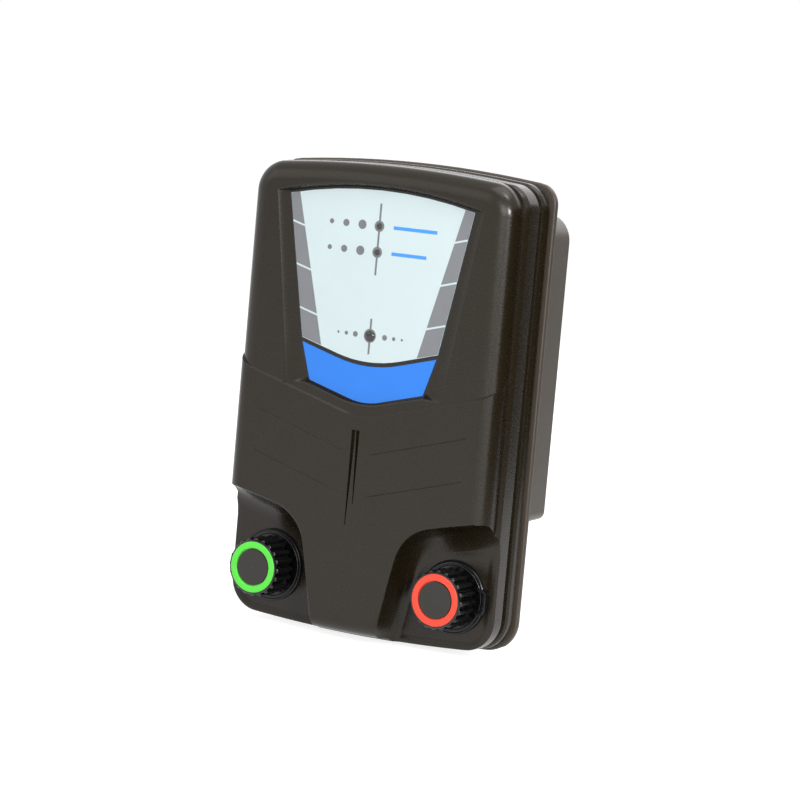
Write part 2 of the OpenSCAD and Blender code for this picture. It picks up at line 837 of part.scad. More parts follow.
module inverter_core() {
    middle = [small_core_x, board_y - small_coil_t / 2, small_core_z];
    color([0.2, 0.2, 0.21]) difference() {
        block(middle, small_core);
        for (s = [-1, 1])
            block(middle + [s * (small_leg + small_window[0]) / 2, 0, 0],
                [small_window[0], small_core[1] + lap, small_window[1]]);
    }
}

module inverter_coil() {
    middle = [small_core_x, board_y - small_coil_t / 2, small_core_z];
    color([0.75, 0.62, 0.2]) difference() {
        block(middle, [small_leg + 2 * (small_window[0] - coil_play), small_coil_t,
            small_window[1] - 2 * coil_play]);
        block(middle, [small_leg + 2 * coil_play, small_core[1] + 2 * coil_play, small_core[2]]);
    }
}

module heat_sink() {
    pitch = (sink_size[0] - fin_t) / (sink_fins - 1);
    color([0.72, 0.73, 0.75]) {
        block([sink_x, board_y - sink_size[1] / 2, sink_z], sink_size);
        for (i = [0 : sink_fins - 1])
            block([sink_x + (i - (sink_fins - 1) / 2) * pitch, board_y - sink_size[1] / 2,
                sink_z + (sink_size[2] + fin_h) / 2], [fin_t, sink_size[1], fin_h + eps]);
    }
}

module thyristor() {
    z = sink_z - (sink_size[2] + tab_part[1]) / 2;
    color([0.08, 0.08, 0.08]) {
        block([sink_x, board_y - tab_leg - tab_part[2] / 2, z],
            [tab_part[0], tab_part[2], tab_part[1]]);
        for (i = [-1 : 1])
            block([sink_x + i * tab_leg_pitch, board_y - tab_leg / 2, z], [0.8, tab_leg + eps, 0.5]);
    }
}

module rectifiers() {
    color([0.12, 0.12, 0.13]) for (i = [0 : 3])
        translate([rectifier_x + rectifier_pitch * i, board_y - rectifier_r, rectifier_z])
            cylinder(h = rectifier_len, r = rectifier_r);
}

chip_pins = 9;
chip_pitch = 2.4;
chip_lift = 1;

module control_chip() {
    pin_x = chip_size[0] / 2 - 0.2;
    color([0.1, 0.1, 0.11]) {
        block([chip_x, board_y - chip_lift - chip_size[1] / 2, chip_z], chip_size);
        for (s = [-1, 1], i = [0 : chip_pins - 1])
            block([chip_x + s * pin_x, board_y - chip_lift / 2 - lap / 4,
                chip_z + (i - (chip_pins - 1) / 2) * chip_pitch], [0.4, chip_lift + lap / 2, 0.6]);
    }
}

module filter_capacitor() {
    color([0.12, 0.16, 0.4]) bar(bulk_x, bulk_z, board_y - bulk_len, board_y, bulk_r);
}

module surge_disc() {
    color([0.1, 0.25, 0.6]) {
        translate([disc_x - disc_t / 2, board_y - disc_leg - disc_r, disc_z]) rotate([0, 90, 0])
            cylinder(h = disc_t, r = disc_r);
        for (z = [-disc_pitch / 2, disc_pitch / 2])
            block([disc_x, board_y - (disc_leg + lap) / 2, disc_z + z], [0.8, disc_leg + lap, 0.8]);
    }
}

fuse_y = board_y - clip_size[1] + fuse_r + 1;

module fuse_clips() {
    color([0.75, 0.72, 0.6]) for (s = [-1, 1]) difference() {
        block([fuse_x + s * (fuse_len - clip_size[0]) / 2, board_y - clip_size[1] / 2, fuse_z], clip_size);
        translate([fuse_x - fuse_len / 2 - lap, fuse_y, fuse_z]) rotate([0, 90, 0])
            cylinder(h = fuse_len + 2 * lap, r = fuse_r + fuse_gap);
    }
}

module fuse() {
    color([0.85, 0.88, 0.9]) translate([fuse_x - fuse_len / 2, fuse_y, fuse_z]) rotate([0, 90, 0])
        cylinder(h = fuse_len, r = fuse_r);
}

// ---- power socket and leads ----------------------------------------------

// the underside of the box at the socket's depth
under_z = -box_h / 2 - box_draft * socket_y / box_y;
socket_seat = 0.3;                  // gap between the socket's flange and the sloping underside
pin_tip = 1;                        // how far the pin stays behind the socket's mouth

module power_socket() {
    mouth_z = under_z - socket_seat - socket_flange_t;
    color([0.07, 0.07, 0.07]) translate([socket_x, socket_y, 0]) {
        difference() {
            union() {
                translate([0, 0, mouth_z]) cylinder(h = socket_flange_t, r = socket_flange_r);
                translate([0, 0, mouth_z + lap]) cylinder(h = socket_top_z - mouth_z - lap, r = socket_r);
            }
            translate([0, 0, mouth_z - lap])
                cylinder(h = socket_top_z - mouth_z - socket_end_t + lap, r = socket_bore_r);
        }
        translate([0, 0, mouth_z + pin_tip])
            cylinder(h = socket_top_z - mouth_z - pin_tip - lap, r = socket_pin_r);
    }
}

nut_clear = 0.6;                    // keeps the nut off the sloping inside of the box

module socket_nut() {
    color([0.72, 0.72, 0.7]) translate([socket_x, socket_y, under_z + wall + nut_clear]) difference() {
        cylinder(h = socket_nut_t, r = socket_nut_r, $fn = 6);
        translate([0, 0, -lap]) cylinder(h = socket_nut_t + 2 * lap, r = socket_r + stud_gap);
    }
}

socket_top_z = under_z + socket_len;

power_lead_x = 2.2;
power_lead_up = 9;

module power_lead() {
    reach = board_y - socket_y;
    color([0.75, 0.1, 0.08]) for (x = [socket_x - power_lead_x, socket_x + power_lead_x])
        tube([[x, socket_y, socket_top_z], [x, socket_y, socket_top_z + power_lead_up / 3],
              for (a = [15 : 15 : 75])
                  [x, socket_y + reach / 2 * (1 - cos(a)),
                   socket_top_z + power_lead_up * (1 + 2 * sin(a)) / 3],
              [x, socket_y + reach / 2, socket_top_z + power_lead_up],
              [x, board_y, socket_top_z + power_lead_up]], power_lead_r, [1, 0, 0]);
}

coil_low_z = core_z - core_h / 2 + yoke + coil_play;
lead_y = lug_y + lug_t / 2;
coil_lead_y = core_mid_y - core_t / 2 - coil_wall / 2;
barrel_end_z = term_z + lug_tail + lug_barrel;

lead_out = [-6, 4];                 // where the two leads leave the coil, from its middle

// the lead's start below the coil
function lead_start(x) = [[x, coil_lead_y, coil_low_z], [x, coil_lead_y, coil_low_z - 6]];

// the lead's end in its lug's barrel
function lead_finish(x) = [[x, lead_y, barrel_end_z + 2], [x, lead_y, barrel_end_z]];

module fence_lead() {
    x = core_x + lead_out[1];
    color([0.7, 0.08, 0.06]) tube(concat(lead_start(x), [
        [x + 1, coil_lead_y + 1, coil_low_z - 14.8],
        [term_x - 15.4, lead_y - 1, barrel_end_z + 17.8],
        [term_x - 9.4, lead_y, barrel_end_z + 9.8],
        [term_x - 3.4, lead_y, barrel_end_z + 3.8]], lead_finish(term_x)), lead_r, [0, 1, 0]);
}

module earth_lead() {
    x = core_x + lead_out[0];
    color([0.08, 0.45, 0.12]) tube(concat(lead_start(x), [
        [x - 3, coil_lead_y + 1, coil_low_z - 14.8],
        [x - 14, lead_y - 1, barrel_end_z + 17.8],
        [37.4 - term_x, lead_y, barrel_end_z + 13.8],
        [19.4 - term_x, lead_y, barrel_end_z + 11.8],
        [6.4 - term_x, lead_y, barrel_end_z + 7.8]], lead_finish(-term_x)), lead_r, [0, 1, 0]);
}

module lead_lugs() {
    color([0.75, 0.76, 0.78]) for (s = [-1, 1]) translate([s * term_x, 0, 0]) {
        difference() {
            union() {
                bar(0, term_z, lug_y, lug_y + lug_t, lug_r);
                block([0, lug_y + lug_t / 2, term_z + (lug_r + lug_tail) / 2],
                    [2 * barrel_r, lug_t, lug_tail - lug_r + 3]);
            }
            bar(0, term_z, lug_y - 1, lug_y + lug_t + 1, stud_r + screw_gap);
        }
        translate([0, lead_y, term_z + lug_tail]) cylinder(h = lug_barrel, r = barrel_r);
    }
}

// ---- terminals -----------------------------------------------------------

module stud(x) {
    color([0.78, 0.72, 0.5]) bar(x, term_z, stud_tip_y, stud_end_y, stud_r);
}

module fence_stud() { stud(term_x); }
module earth_stud() { stud(-term_x); }

module stud_nuts() {
    color([0.72, 0.72, 0.74]) for (x = [-term_x, term_x], part = [[nut_y, nut_t], [lock_nut_y, lock_nut_t]])
        difference() {
            translate([x, part[0] + part[1], term_z]) rotate([90, 0, 0])
                cylinder(h = part[1], r = nut_r, $fn = 6);
            bar(x, term_z, part[0] - 1, part[0] + part[1] + 1, stud_r + stud_gap);
        }
}

// a collar with a raised lip and a guide for the wire on its outer side
module collar(s) {
    color([0.11, 0.11, 0.12]) translate([s * term_x, 0, 0]) difference() {
        union() {
            bar(0, term_z, bay_y - collar_h, bay_y, collar_r);
            bar(0, term_z, bay_y - eps, bay_back_y, spigot_r);
            block([s * (collar_r - tab_w / 2 + 1.2), bay_y - tab_t / 2, term_z], [tab_w, tab_t, tab_h]);
        }
        bar(0, term_z, bay_y - tab_t - 1, seat_y, collar_r - collar_lip);
        bar(0, term_z, seat_y - 1, bay_back_y + 1, stud_r + screw_gap);
        block([s * collar_r, bay_y - tab_t, term_z], [3 * tab_w, tab_t, wire_slot]);
    }
}

module fence_collar() { collar(1); }
module earth_collar() { collar(-1); }

module washer(x, y, gap) {
    color([0.75, 0.76, 0.78]) difference() {
        bar(x, term_z, y, y + washer_t, washer_r);
        bar(x, term_z, y - 1, y + washer_t + 1, stud_r + gap);
    }
}

module base_washers() { for (x = [-term_x, term_x]) washer(x, base_washer_y, screw_gap); }
module fence_clamp_washer() { washer(term_x, clamp_washer_y, washer_gap); }
module earth_clamp_washer() { washer(-term_x, clamp_washer_y, washer_gap); }

rib_mid_r = knob_r - rib_r;
ring_y = knob_front_y - ring_proud;
rim_wall = 0.4;
rib_start = 0.4;

module knob(x) {
    color([0.07, 0.07, 0.075]) translate([x, 0, 0]) difference() {
        union() {
            bar(0, term_z, knob_front_y, knob_back_y, ring_r + rim_wall);
            for (i = [0 : rib_count - 1]) let (a = 360 * i / rib_count)
                bar(rib_mid_r * cos(a), term_z + rib_mid_r * sin(a), knob_front_y + rib_start,
                    knob_back_y, rib_r);
        }
        bar(0, term_z, knob_front_y - 1, knob_front_y + ring_t - ring_proud, ring_r);
        bar(0, term_z, knob_back_y - insert_len, knob_back_y + 1, insert_r);
    }
}

module fence_knob() { knob(term_x); }
module earth_knob() { knob(-term_x); }

module insert(x) {
    color([0.78, 0.65, 0.3]) difference() {
        bar(x, term_z, knob_back_y - insert_len, knob_back_y, insert_r);
        bar(x, term_z, knob_back_y - insert_len + insert_end, knob_back_y + 1, stud_r + stud_gap);
    }
}

module fence_insert() { insert(term_x); }
module earth_insert() { insert(-term_x); }

module ring(x, shade) {
    color(shade) difference() {
        bar(x, term_z, ring_y, ring_y + ring_t, ring_r);
        bar(x, term_z, ring_y - 1, ring_y + ring_t + 1, cap_r);
    }
}

module fence_ring() { ring(term_x, [0.94, 0.27, 0.2]); }
module earth_ring() { ring(-term_x, [0.38, 0.85, 0.32]); }

module cap(x) {
    color([0.2, 0.2, 0.2]) bar(x, term_z, ring_y + cap_back, ring_y + ring_t, cap_r);
}

module fence_cap() { cap(term_x); }
module earth_cap() { cap(-term_x); }

front_cover();
rear_case();
case_seal();
case_screws();
label_plate();
name_plate();
input_lamp();
pulse_lamp();
fence_lamp();
lamp_board();
lamp_board_screws();
ribbon_lead();
main_board();
board_screws();
transformer_core();
transformer_coil();
transformer_clamp();
storage_capacitor();
inverter_core();
inverter_coil();
thyristor();
heat_sink();
rectifiers();
control_chip();
filter_capacitor();
surge_disc();
fuse_clips();
fuse();
power_socket();
socket_nut();
power_lead();
fence_lead();
earth_lead();
lead_lugs();
stud_nuts();
base_washers();
fence_collar();
earth_collar();
fence_stud();
earth_stud();
fence_clamp_washer();
earth_clamp_washer();
fence_knob();
earth_knob();
fence_insert();
earth_insert();
fence_ring();
earth_ring();
fence_cap();
earth_cap();
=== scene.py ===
# %% [markdown]
# # A fence energizer, dressed for its photograph
#
# The object is a pulse unit for an electric fence. A dark domed cover carries a sunken label with
# three lamps, and two screw terminals with ringed knobs stand in open bays in its lower corners.
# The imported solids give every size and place. This lesson gives the pieces in view their rounded
# edges, their print and their finish, and leaves the hidden circuit parts as they are, apart from
# their materials.

import json
from math import atan2, cos, hypot, pi, radians, sin, sqrt, tan

import bmesh
import bpy
from mathutils import Matrix, Vector
from mathutils.bvhtree import BVHTree

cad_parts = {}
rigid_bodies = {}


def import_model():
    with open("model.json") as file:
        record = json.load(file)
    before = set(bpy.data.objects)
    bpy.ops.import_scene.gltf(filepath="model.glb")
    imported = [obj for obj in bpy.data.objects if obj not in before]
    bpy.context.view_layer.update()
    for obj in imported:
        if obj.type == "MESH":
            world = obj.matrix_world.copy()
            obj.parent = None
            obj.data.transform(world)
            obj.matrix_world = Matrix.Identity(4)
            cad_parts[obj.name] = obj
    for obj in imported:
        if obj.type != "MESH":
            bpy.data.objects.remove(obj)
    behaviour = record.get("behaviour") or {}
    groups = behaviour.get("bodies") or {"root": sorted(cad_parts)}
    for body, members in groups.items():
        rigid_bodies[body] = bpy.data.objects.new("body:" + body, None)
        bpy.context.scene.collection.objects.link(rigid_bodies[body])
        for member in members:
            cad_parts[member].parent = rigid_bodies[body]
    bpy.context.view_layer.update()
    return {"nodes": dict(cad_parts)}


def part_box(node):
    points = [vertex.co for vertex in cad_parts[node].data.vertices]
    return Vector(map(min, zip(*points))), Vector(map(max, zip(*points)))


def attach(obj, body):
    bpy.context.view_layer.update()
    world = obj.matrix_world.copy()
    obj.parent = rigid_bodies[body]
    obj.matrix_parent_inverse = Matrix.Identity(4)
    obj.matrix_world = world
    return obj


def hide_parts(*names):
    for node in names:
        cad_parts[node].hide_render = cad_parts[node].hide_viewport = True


for thing in list(bpy.data.objects):
    bpy.data.objects.remove(thing)
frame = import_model()
mm = 0.001

# %% [markdown]
# ## The camera
#
# A photograph is matched by its vanishing lines and by points that can be named on the object. Here
# the camera stands well back, about a metre and a half, to the object's right and a little above
# it, and the picture leans by five degrees because the unit was leaning in the studio. The aim is
# settled first, so the lens needs no shift.

# %% Camera
view_turn = radians(30.434)
view_rise = radians(5.678)
view_lean = radians(5.078)
view_range = 1469.62 * mm
view_aim = Vector((18.879, -66.0, -17.726)) * mm
view_lens = 145.54

back = Vector((sin(view_turn) * cos(view_rise), -cos(view_turn) * cos(view_rise), sin(view_rise)))
level = Vector((cos(view_turn), sin(view_turn), 0))
right = level * cos(view_lean) + back.cross(level) * sin(view_lean)
above = back.cross(right)

bpy.ops.object.select_all(action="DESELECT")
bpy.ops.object.camera_add(location=view_aim + back * view_range)
camera = bpy.context.active_object
camera.name = "photo_camera"
camera.rotation_euler = Matrix((right, above, back)).transposed().to_euler()
camera.data.lens = view_lens
camera.data.sensor_width = 36
camera.data.sensor_fit = "AUTO"
camera.data.clip_end = 20
bpy.context.scene.camera = camera
bpy.context.scene.view_settings.view_transform = "Standard"
print("camera at", [round(v, 4) for v in camera.location])

# %% [markdown]
# ## Points in the photograph
#
# Each name is something that can be pointed at in the 800 by 800 picture. The camera was settled by
# them.

# %% Image points
photo_w, photo_h = 800, 800
points = {
    "left": (228.0, None), "right": (569.2, None), "top": (None, 156.7), "bottom": (None, 652.1),
    "fence_ring": (434.25, 599.7), "earth_ring": (252.4, 567.0),
    "input_lamp": (380.7, 226.9), "pulse_lamp": (378.0, 252.8), "fence_lamp": (370.1, 335.9),
    "label_top_left": (292.9, 191.5), "label_top_right": (475.8, 214.0),
    "plate_low_left": (310.0, 379.5), "plate_low_right": (422.8, 396.0),
    "step_point": (362.0, 418.6),
    "upper_line_in": (370.6, 455.0), "upper_line_out": (465.9, 438.9),
    "lower_line_in": (366.9, 497.0), "lower_line_out": (460.4, 482.4),
}


def photo_ray(x, y):
    """Where the camera stands, and the way it looks through a point of the photograph."""
    size = max(photo_w, photo_h)
    data = camera.data
    way = Vector((x - photo_w / 2 + data.shift_x * size, photo_h / 2 - y + data.shift_y * size,
                  -size * data.lens / data.sensor_width))
    turn = camera.matrix_world.to_3x3()
    return camera.matrix_world.translation.copy(), (turn @ way).normalized()


def on_surface(x, y, tree):
    """The place on a surface that shows at a point of the photograph, or the nearest to its ray."""
    start, way = photo_ray(x, y)
    hit = tree.ray_cast(start, way)[0]
    if hit is not None:
        return hit
    along = start + way * (view_aim - start).dot(way)
    return tree.find_nearest(along)[0]


bpy.context.view_layer.update()
print("image points:", len(points))

# %% [markdown]
# ## Sizes taken from the frame
#
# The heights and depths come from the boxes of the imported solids, in millimetres here because the
# drawing was made in them. The radii and angles of the outline repeat the drawing's own values.

# %% Sizes
def low(node):
    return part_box(node)[0] / mm


def high(node):
    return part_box(node)[1] / mm


half_w = high("rear_case").x
case_top, case_low = high("rear_case").z, low("rear_case").z
case_mid = (case_top + case_low) / 2
half_h = (case_top - case_low) / 2
seal_y = high("front_cover").y
front_y = low("front_cover").y
flange_y = low("rear_case").y
label_y = low("label_plate").y
label_back_y = high("label_plate").y
wall, upper_sink = 2.5, 0.8
upper_y = front_y + upper_sink
bay_y = high("fence_collar").y - wall
term_x = (low("fence_knob").x + high("fence_knob").x) / 2
term_z = (low("fence_knob").z + high("fence_knob").z) / 2
top_arch, low_arch = 590, 760
flange_top_r, rim_top_r, corner_r = 10, 12.5, 15
print("case", round(2 * half_w, 1), "x", round(2 * half_h, 1), "front at", round(front_y, 2),
      "bay floor", round(bay_y, 2), "terminals at", round(term_x, 2), round(term_z, 2))

# %% [markdown]
# ## Growing a piece ring by ring
#
# Most mouldings here have one outline that swells and shrinks along the depth. By hand this is a
# flat circle whose corners are set on the outline, extruded again and again, with each new edge
# moved onto the next outline. The helper does just that. It keeps faces as clean bands of quads,
# which shade better than anything that a remesh gives.

# %% Building helpers
def deselect():
    if bpy.context.object and bpy.context.object.mode != "OBJECT":
        bpy.ops.object.mode_set(mode="OBJECT")
    bpy.ops.object.select_all(action="DESELECT")


def activate(piece):
    deselect()
    piece.select_set(True)
    bpy.context.view_layer.objects.active = piece


def edit_all(piece):
    """Edit mode on one piece, with the whole of it selected."""
    activate(piece)
    bpy.ops.object.mode_set(mode="EDIT")
    bpy.ops.mesh.select_all(action="SELECT")


def spot(point):
    return tuple(round(value, 7) for value in point)


def build_up(name, rings):
    """A closed solid through rings of equally many points, each a list of (x, y, z) in mm."""
    rings = [[Vector(p) * mm for p in ring] for ring in rings]
    deselect()
    bpy.ops.mesh.primitive_circle_add(vertices=len(rings[0]), radius=half_w * mm, fill_type="NGON")
    piece = bpy.context.active_object
    piece.name = piece.data.name = name
    for vertex, point in zip(piece.data.vertices, rings[0]):
        vertex.co = point
    edit_all(piece)
    for before, after in zip(rings, rings[1:]):
        places = {spot(p): q for p, q in zip(before, after)}
        bpy.ops.mesh.extrude_region_move()
        mesh = bmesh.from_edit_mesh(piece.data)
        for vertex in mesh.verts:
            if vertex.select:
                vertex.co = places[spot(vertex.co)]
        bmesh.update_edit_mesh(piece.data)
    bpy.ops.mesh.select_all(action="SELECT")
    bpy.ops.mesh.normals_make_consistent(inside=False)
    bpy.ops.object.mode_set(mode="OBJECT")
    return piece


def cut(piece, cutter):
    """Takes one piece out of another, and removes it."""
    modifier = piece.modifiers.new("cut", "BOOLEAN")
    modifier.operation = "DIFFERENCE"
    modifier.solver = "EXACT"
    modifier.object = cutter
    activate(piece)
    bpy.ops.object.modifier_apply(modifier=modifier.name)
    bpy.data.objects.remove(cutter)


def smooth(piece, angle=35):
    """Smooth shading up to an angle, with normals that favour the large faces."""
    activate(piece)
    bpy.ops.object.shade_smooth_by_angle(angle=radians(angle))
    modifier = piece.modifiers.new("even normals", "WEIGHTED_NORMAL")
    modifier.keep_sharp = True
    bpy.ops.object.modifier_apply(modifier=modifier.name)


def report(piece):
    mesh = bmesh.new()
    mesh.from_mesh(piece.data)
    open_edges = sum(1 for edge in mesh.edges if not edge.is_manifold)
    print(piece.name, "faces:", len(mesh.faces), "open edges:", open_edges)
    mesh.free()


def arc(middle, radius, start, end, steps):
    """Points (x, z) on an arc between two angles in radians, both ends included."""
    return [(middle[0] + radius * cos(start + (end - start) * i / steps),
             middle[1] + radius * sin(start + (end - start) * i / steps)) for i in range(steps + 1)]


def at_depth(flat, y):
    return [(x, y, z) for x, z in flat]


# %% [markdown]
# ## The case's outline
#
# The case is a tall shield: straight sides, gently arched top and bottom, and four rounded corners.
# Every ring of the cover and the flange is this outline, set in by some amount. The function
# returns the same number of points for every inset, so that rings always pair up.

# %% Outline
corner_steps, arch_steps = 12, 24


def half_outline(inset, edge_inset, r, arch):
    """The upper half, right to left: a corner, the arch, a corner. Heights are from the middle."""
    side = half_w - inset - r
    arch_z = half_h - arch
    radius = arch - edge_inset
    corner_z = arch_z + sqrt((radius - r) ** 2 - side ** 2)
    lean = atan2(corner_z - arch_z, side)
    corner = arc((side, corner_z), r, 0, lean, corner_steps)
    top = arc((0, arch_z), radius, lean, pi - lean, arch_steps)[1:-1]
    return corner + top + [(-x, z) for x, z in reversed(corner)]


def outline(inset, top_r, low_r, edge_inset=None):
    """The whole outline, anticlockwise from the front; edge_inset is the top's, if it differs."""
    upper = half_outline(inset, inset if edge_inset is None else edge_inset, top_r, top_arch)
    lower = half_outline(inset, inset, low_r, low_arch)
    return [(x, case_mid + z) for x, z in upper] + [(x, case_mid - z) for x, z in reversed(lower)]


flange_line = outline(0, flange_top_r, corner_r)
print("points in an outline:", len(flange_line))

# %% [markdown]
# ## The front cover: the body
#
# On the real unit this is one injection moulding. Its side goes, from the rear, through a short
# skirt that closes on the flange, a bead, a deep groove, a taller rim and a narrow crease, and then
# rises to a front with softly rounded edges. The crease and the groove show as dark lines, because
# light can't reach their floors. A bevel modifier would give one width everywhere, but the top edge
# is rounder than the sides, so the body is built up ring by ring with both roundings written in.

# %% Cover body
bead_in, rim_in, dome_in, groove_in = 1.0, 1.6, 3.4, 3.0
rim_y = front_y + 11.9
groove_y = rim_y + 11.0
bead_y = groove_y + 3.2
skirt_y = seal_y + 0.9
side_round, top_round, least_r = 7.5, 9.5, 4
round_steps = 10

rim_profile = [
    (bead_in + 2.0, seal_y), (bead_in + 1.9, skirt_y), (bead_in + 0.3, skirt_y),
    (bead_in, skirt_y - 0.4), (bead_in, bead_y + 1.4), (bead_in + 0.12, bead_y + 1.0),
    (bead_in + 0.8, bead_y), (groove_in, bead_y - 0.3),
    (groove_in, groove_y + 0.3), (rim_in + 0.6, groove_y), (rim_in + 0.2, groove_y - 0.25),
    (rim_in, groove_y - 0.9), (rim_in, rim_y + 2.0), (rim_in + 0.12, rim_y + 1.6),
    (dome_in - 0.5, rim_y), (dome_in + 0.3, rim_y - 0.1), (dome_in + 0.3, rim_y - 0.8),
    (dome_in, rim_y - 1.3)]


def rim_ring(inset, y):
    """A ring of the cover's rear half: its upper corners open from the rim's to the dome's."""
    before_groove = y < groove_y - 1
    share = max(0, min(1, (inset - rim_in) / (dome_in - rim_in))) if before_groove else 0
    step = rim_in - inset
    top_r = (rim_top_r + step) * (1 - share) + corner_r * share
    low_r = (corner_r + step) * (1 - share) + corner_r * share
    return at_depth(outline(inset, top_r, low_r, rim_in if before_groove else inset), y)


def dome_ring(front, extra, angle, wide=0):
    """A ring of the rounded front: 90 degrees at the side, 0 at the flat of the face."""
    sink = (side_round + wide) * (1 - sin(angle))
    top_sink = top_round * (1 - sin(angle))
    r = max(corner_r - extra - sink, least_r)
    return at_depth(outline(dome_in + extra + sink, r, r, rim_in + extra + top_sink),
                    front + side_round * (1 - cos(angle)))


angles = [radians(90 * (1 - i / round_steps)) for i in range(round_steps + 1)]
cover = build_up("cover_shell", [rim_ring(inset, y) for inset, y in rim_profile]
                 + [dome_ring(front_y, 0, angle) for angle in angles])
report(cover)

# %% [markdown]
# ## The V-shaped step
#
# The upper part of the front lies a little behind the lower part, and the edge between them is a
# wide V. On the flat of the face its wall leans back, so that it takes the light from above as one
# thin pale line, and on the rounded sides it runs up and thins out. A flat cut would stop short of
# the rounding, so the cutter is a wedge above the V, and what it may not remove is taken out of it
# first: a second dome, a little smaller all round. Last, the step's raised edge is bevelled, more
# at its ends, because no moulded edge is quite sharp.

# %% V-shaped step
v_angle = radians(15)
v_slope = tan(v_angle)
v_z, v_round, v_steps = -29.0, 30, 8
v_reach = half_w + 5
v_face, v_sweep = 1.1, 0.5
step_edge, step_end, step_bend_x = 0.25, 1.0, 54
upper_in, upper_wide = 0.15, 2.5


def point_line(x, z, radius):
    """A V from left to right through (-x, z) and (x, z): straight arms and a rounded point."""
    base = z - x * v_slope
    turn = [(radius * sin(a), base + radius * (1 / cos(v_angle) - cos(a)))
            for a in [v_angle * (2 * i / v_steps - 1) for i in range(v_steps + 1)]]
    return [(-x, z)] + turn + [(x, z)]


def lift(y):
    """How far the step has climbed at one depth: fast down to the upper face, then slowly."""
    return v_face * min(y - front_y, upper_y - front_y) + v_sweep * max(y - upper_y, 0)


def wedge_ring(y):
    """The wedge's outline at one depth: its lower edge climbs as it goes deeper."""
    edge = point_line(v_reach, v_z + v_reach * v_slope + lift(y), v_round)
    return at_depth(edge + [(v_reach, case_top + 5), (-v_reach, case_top + 5)], y)


wedge = build_up("v_wedge", [wedge_ring(y) for y in (rim_y - 0.9, upper_y, front_y - 2)])
dome_foot = at_depth(outline(dome_in + upper_in, corner_r, corner_r, rim_in), rim_y + 2)
upper_dome = build_up("upper_dome", [dome_foot] + [
    dome_ring(upper_y, upper_in, angle, upper_wide) for angle in angles])
cut(wedge, upper_dome)
cut(cover, wedge)


def on_step(point):
    """True for a point that lies on the sloping face under the wedge."""
    x, y, z = (value / mm for value in point)
    if abs(x) > v_round * sin(v_angle):
        edge = v_z + abs(x) * v_slope
    else:
        edge = v_z + v_round / cos(v_angle) - sqrt(v_round ** 2 - x ** 2)
    return abs(z - edge - lift(y)) < 0.03


def ease_step(width, from_x, to_x):
    """Rounds the step's raised edge where it lies that far from the middle."""
    activate(cover)
    bpy.ops.object.mode_set(mode="EDIT")
    bpy.ops.mesh.select_mode(type="EDGE")
    bpy.ops.mesh.select_all(action="DESELECT")
    mesh = bmesh.from_edit_mesh(cover.data)
    for edge in mesh.edges:
        reach = abs(edge.verts[0].co.x + edge.verts[1].co.x) / 2 / mm
        sharp = edge.is_manifold and edge.is_convex and edge.calc_face_angle() > radians(25)
        if sharp and from_x < reach < to_x:
            edge.select_set(all(on_step(vertex.co) for vertex in edge.verts))
    bmesh.update_edit_mesh(cover.data)
    print("step edges eased:", sum(edge.select for edge in mesh.edges))
    bpy.ops.mesh.bevel(offset=width * mm, segments=3, affect="EDGES", clamp_overlap=True)
    bpy.ops.object.mode_set(mode="OBJECT")


ease_step(step_edge, 0, step_bend_x)
ease_step(step_end, step_bend_x, half_w)
report(cover)

# %% [markdown]
# ## The label recess
#
# The label lies in a shallow pan with sloping walls, and the pan's lower end follows the name
# plate's point. Its rim is softly rounded into the face. The cutter is one loft from the pan's
# floor through the mouth, with three extra rings just over the mouth that lay the rounding in.

# %% Label recess
label_top_x, label_top_z = 49.0, case_top - 19
label_low_x, label_low_z = 36.4, case_top - 84.6
plate_low_x, plate_low_z = 30.4, label_low_z - 19.2
mouth_top_x, mouth_top_z = 54.8, case_top - 18.1
mouth_low_x, mouth_foot_x = 44.4, 42.0
plate_round, label_round = 45, 64
label_arch, label_steps = 221, 16
pan_gap = 0.8


def arch_line(x, z):
    """The label's arched top edge, right to left, between two corners."""
    lean = atan2(x, sqrt(label_arch ** 2 - x ** 2))
    middle = 0, z - label_arch * cos(lean)
    return arc(middle, label_arch, pi / 2 - lean, pi / 2 + lean, label_steps)


def pushed(flat, reach):
    """An anticlockwise outline moved outward by a distance, or inward if it is negative."""
    out = []
    for i, (x, z) in enumerate(flat):
        (ax, az), (bx, bz) = flat[i - 1], flat[(i + 1) % len(flat)]
        one = Vector((x - ax, z - az)).normalized()
        two = Vector((bx - x, bz - z)).normalized()
        mitre = Vector((one.y + two.y, -one.x - two.x))
        mitre *= 2 / max(mitre.length_squared, 0.6)
        out.append((x + mitre.x * reach, z + mitre.y * reach))
    return out


def pan_line(low_x, low_z, right_side, top_x, top_z):
    """The pan's outline: its V, two points up each side, and the label's arch."""
    left_side = [(-x, z) for x, z in reversed(right_side)]
    return (point_line(low_x, low_z, plate_round) + right_side
            + arch_line(top_x, top_z) + left_side)


pan_floor = pan_line(
    plate_low_x + 0.7, plate_low_z - 0.7,
    [(plate_low_x + 1.1, plate_low_z + 1.0), (label_low_x + pan_gap, label_low_z)],
    label_top_x + pan_gap, label_top_z + pan_gap)
pan_mouth = pan_line(
    plate_low_x + 0.9, plate_low_z - 1.0,
    [(mouth_foot_x, plate_low_z - 1.7), (mouth_low_x, label_low_z)], mouth_top_x, mouth_top_z)
mouth_round = [(0, 0.3), (0.3, 0.16), (0.7, 0.05), (1.1, -0.01), (1.1, front_y - 3 - upper_y)]
pan = build_up("label_pan", [at_depth(pan_floor, label_back_y)] + [
    at_depth(pushed(pan_mouth, reach), upper_y + depth) for reach, depth in mouth_round])
cut(cover, pan)
report(cover)

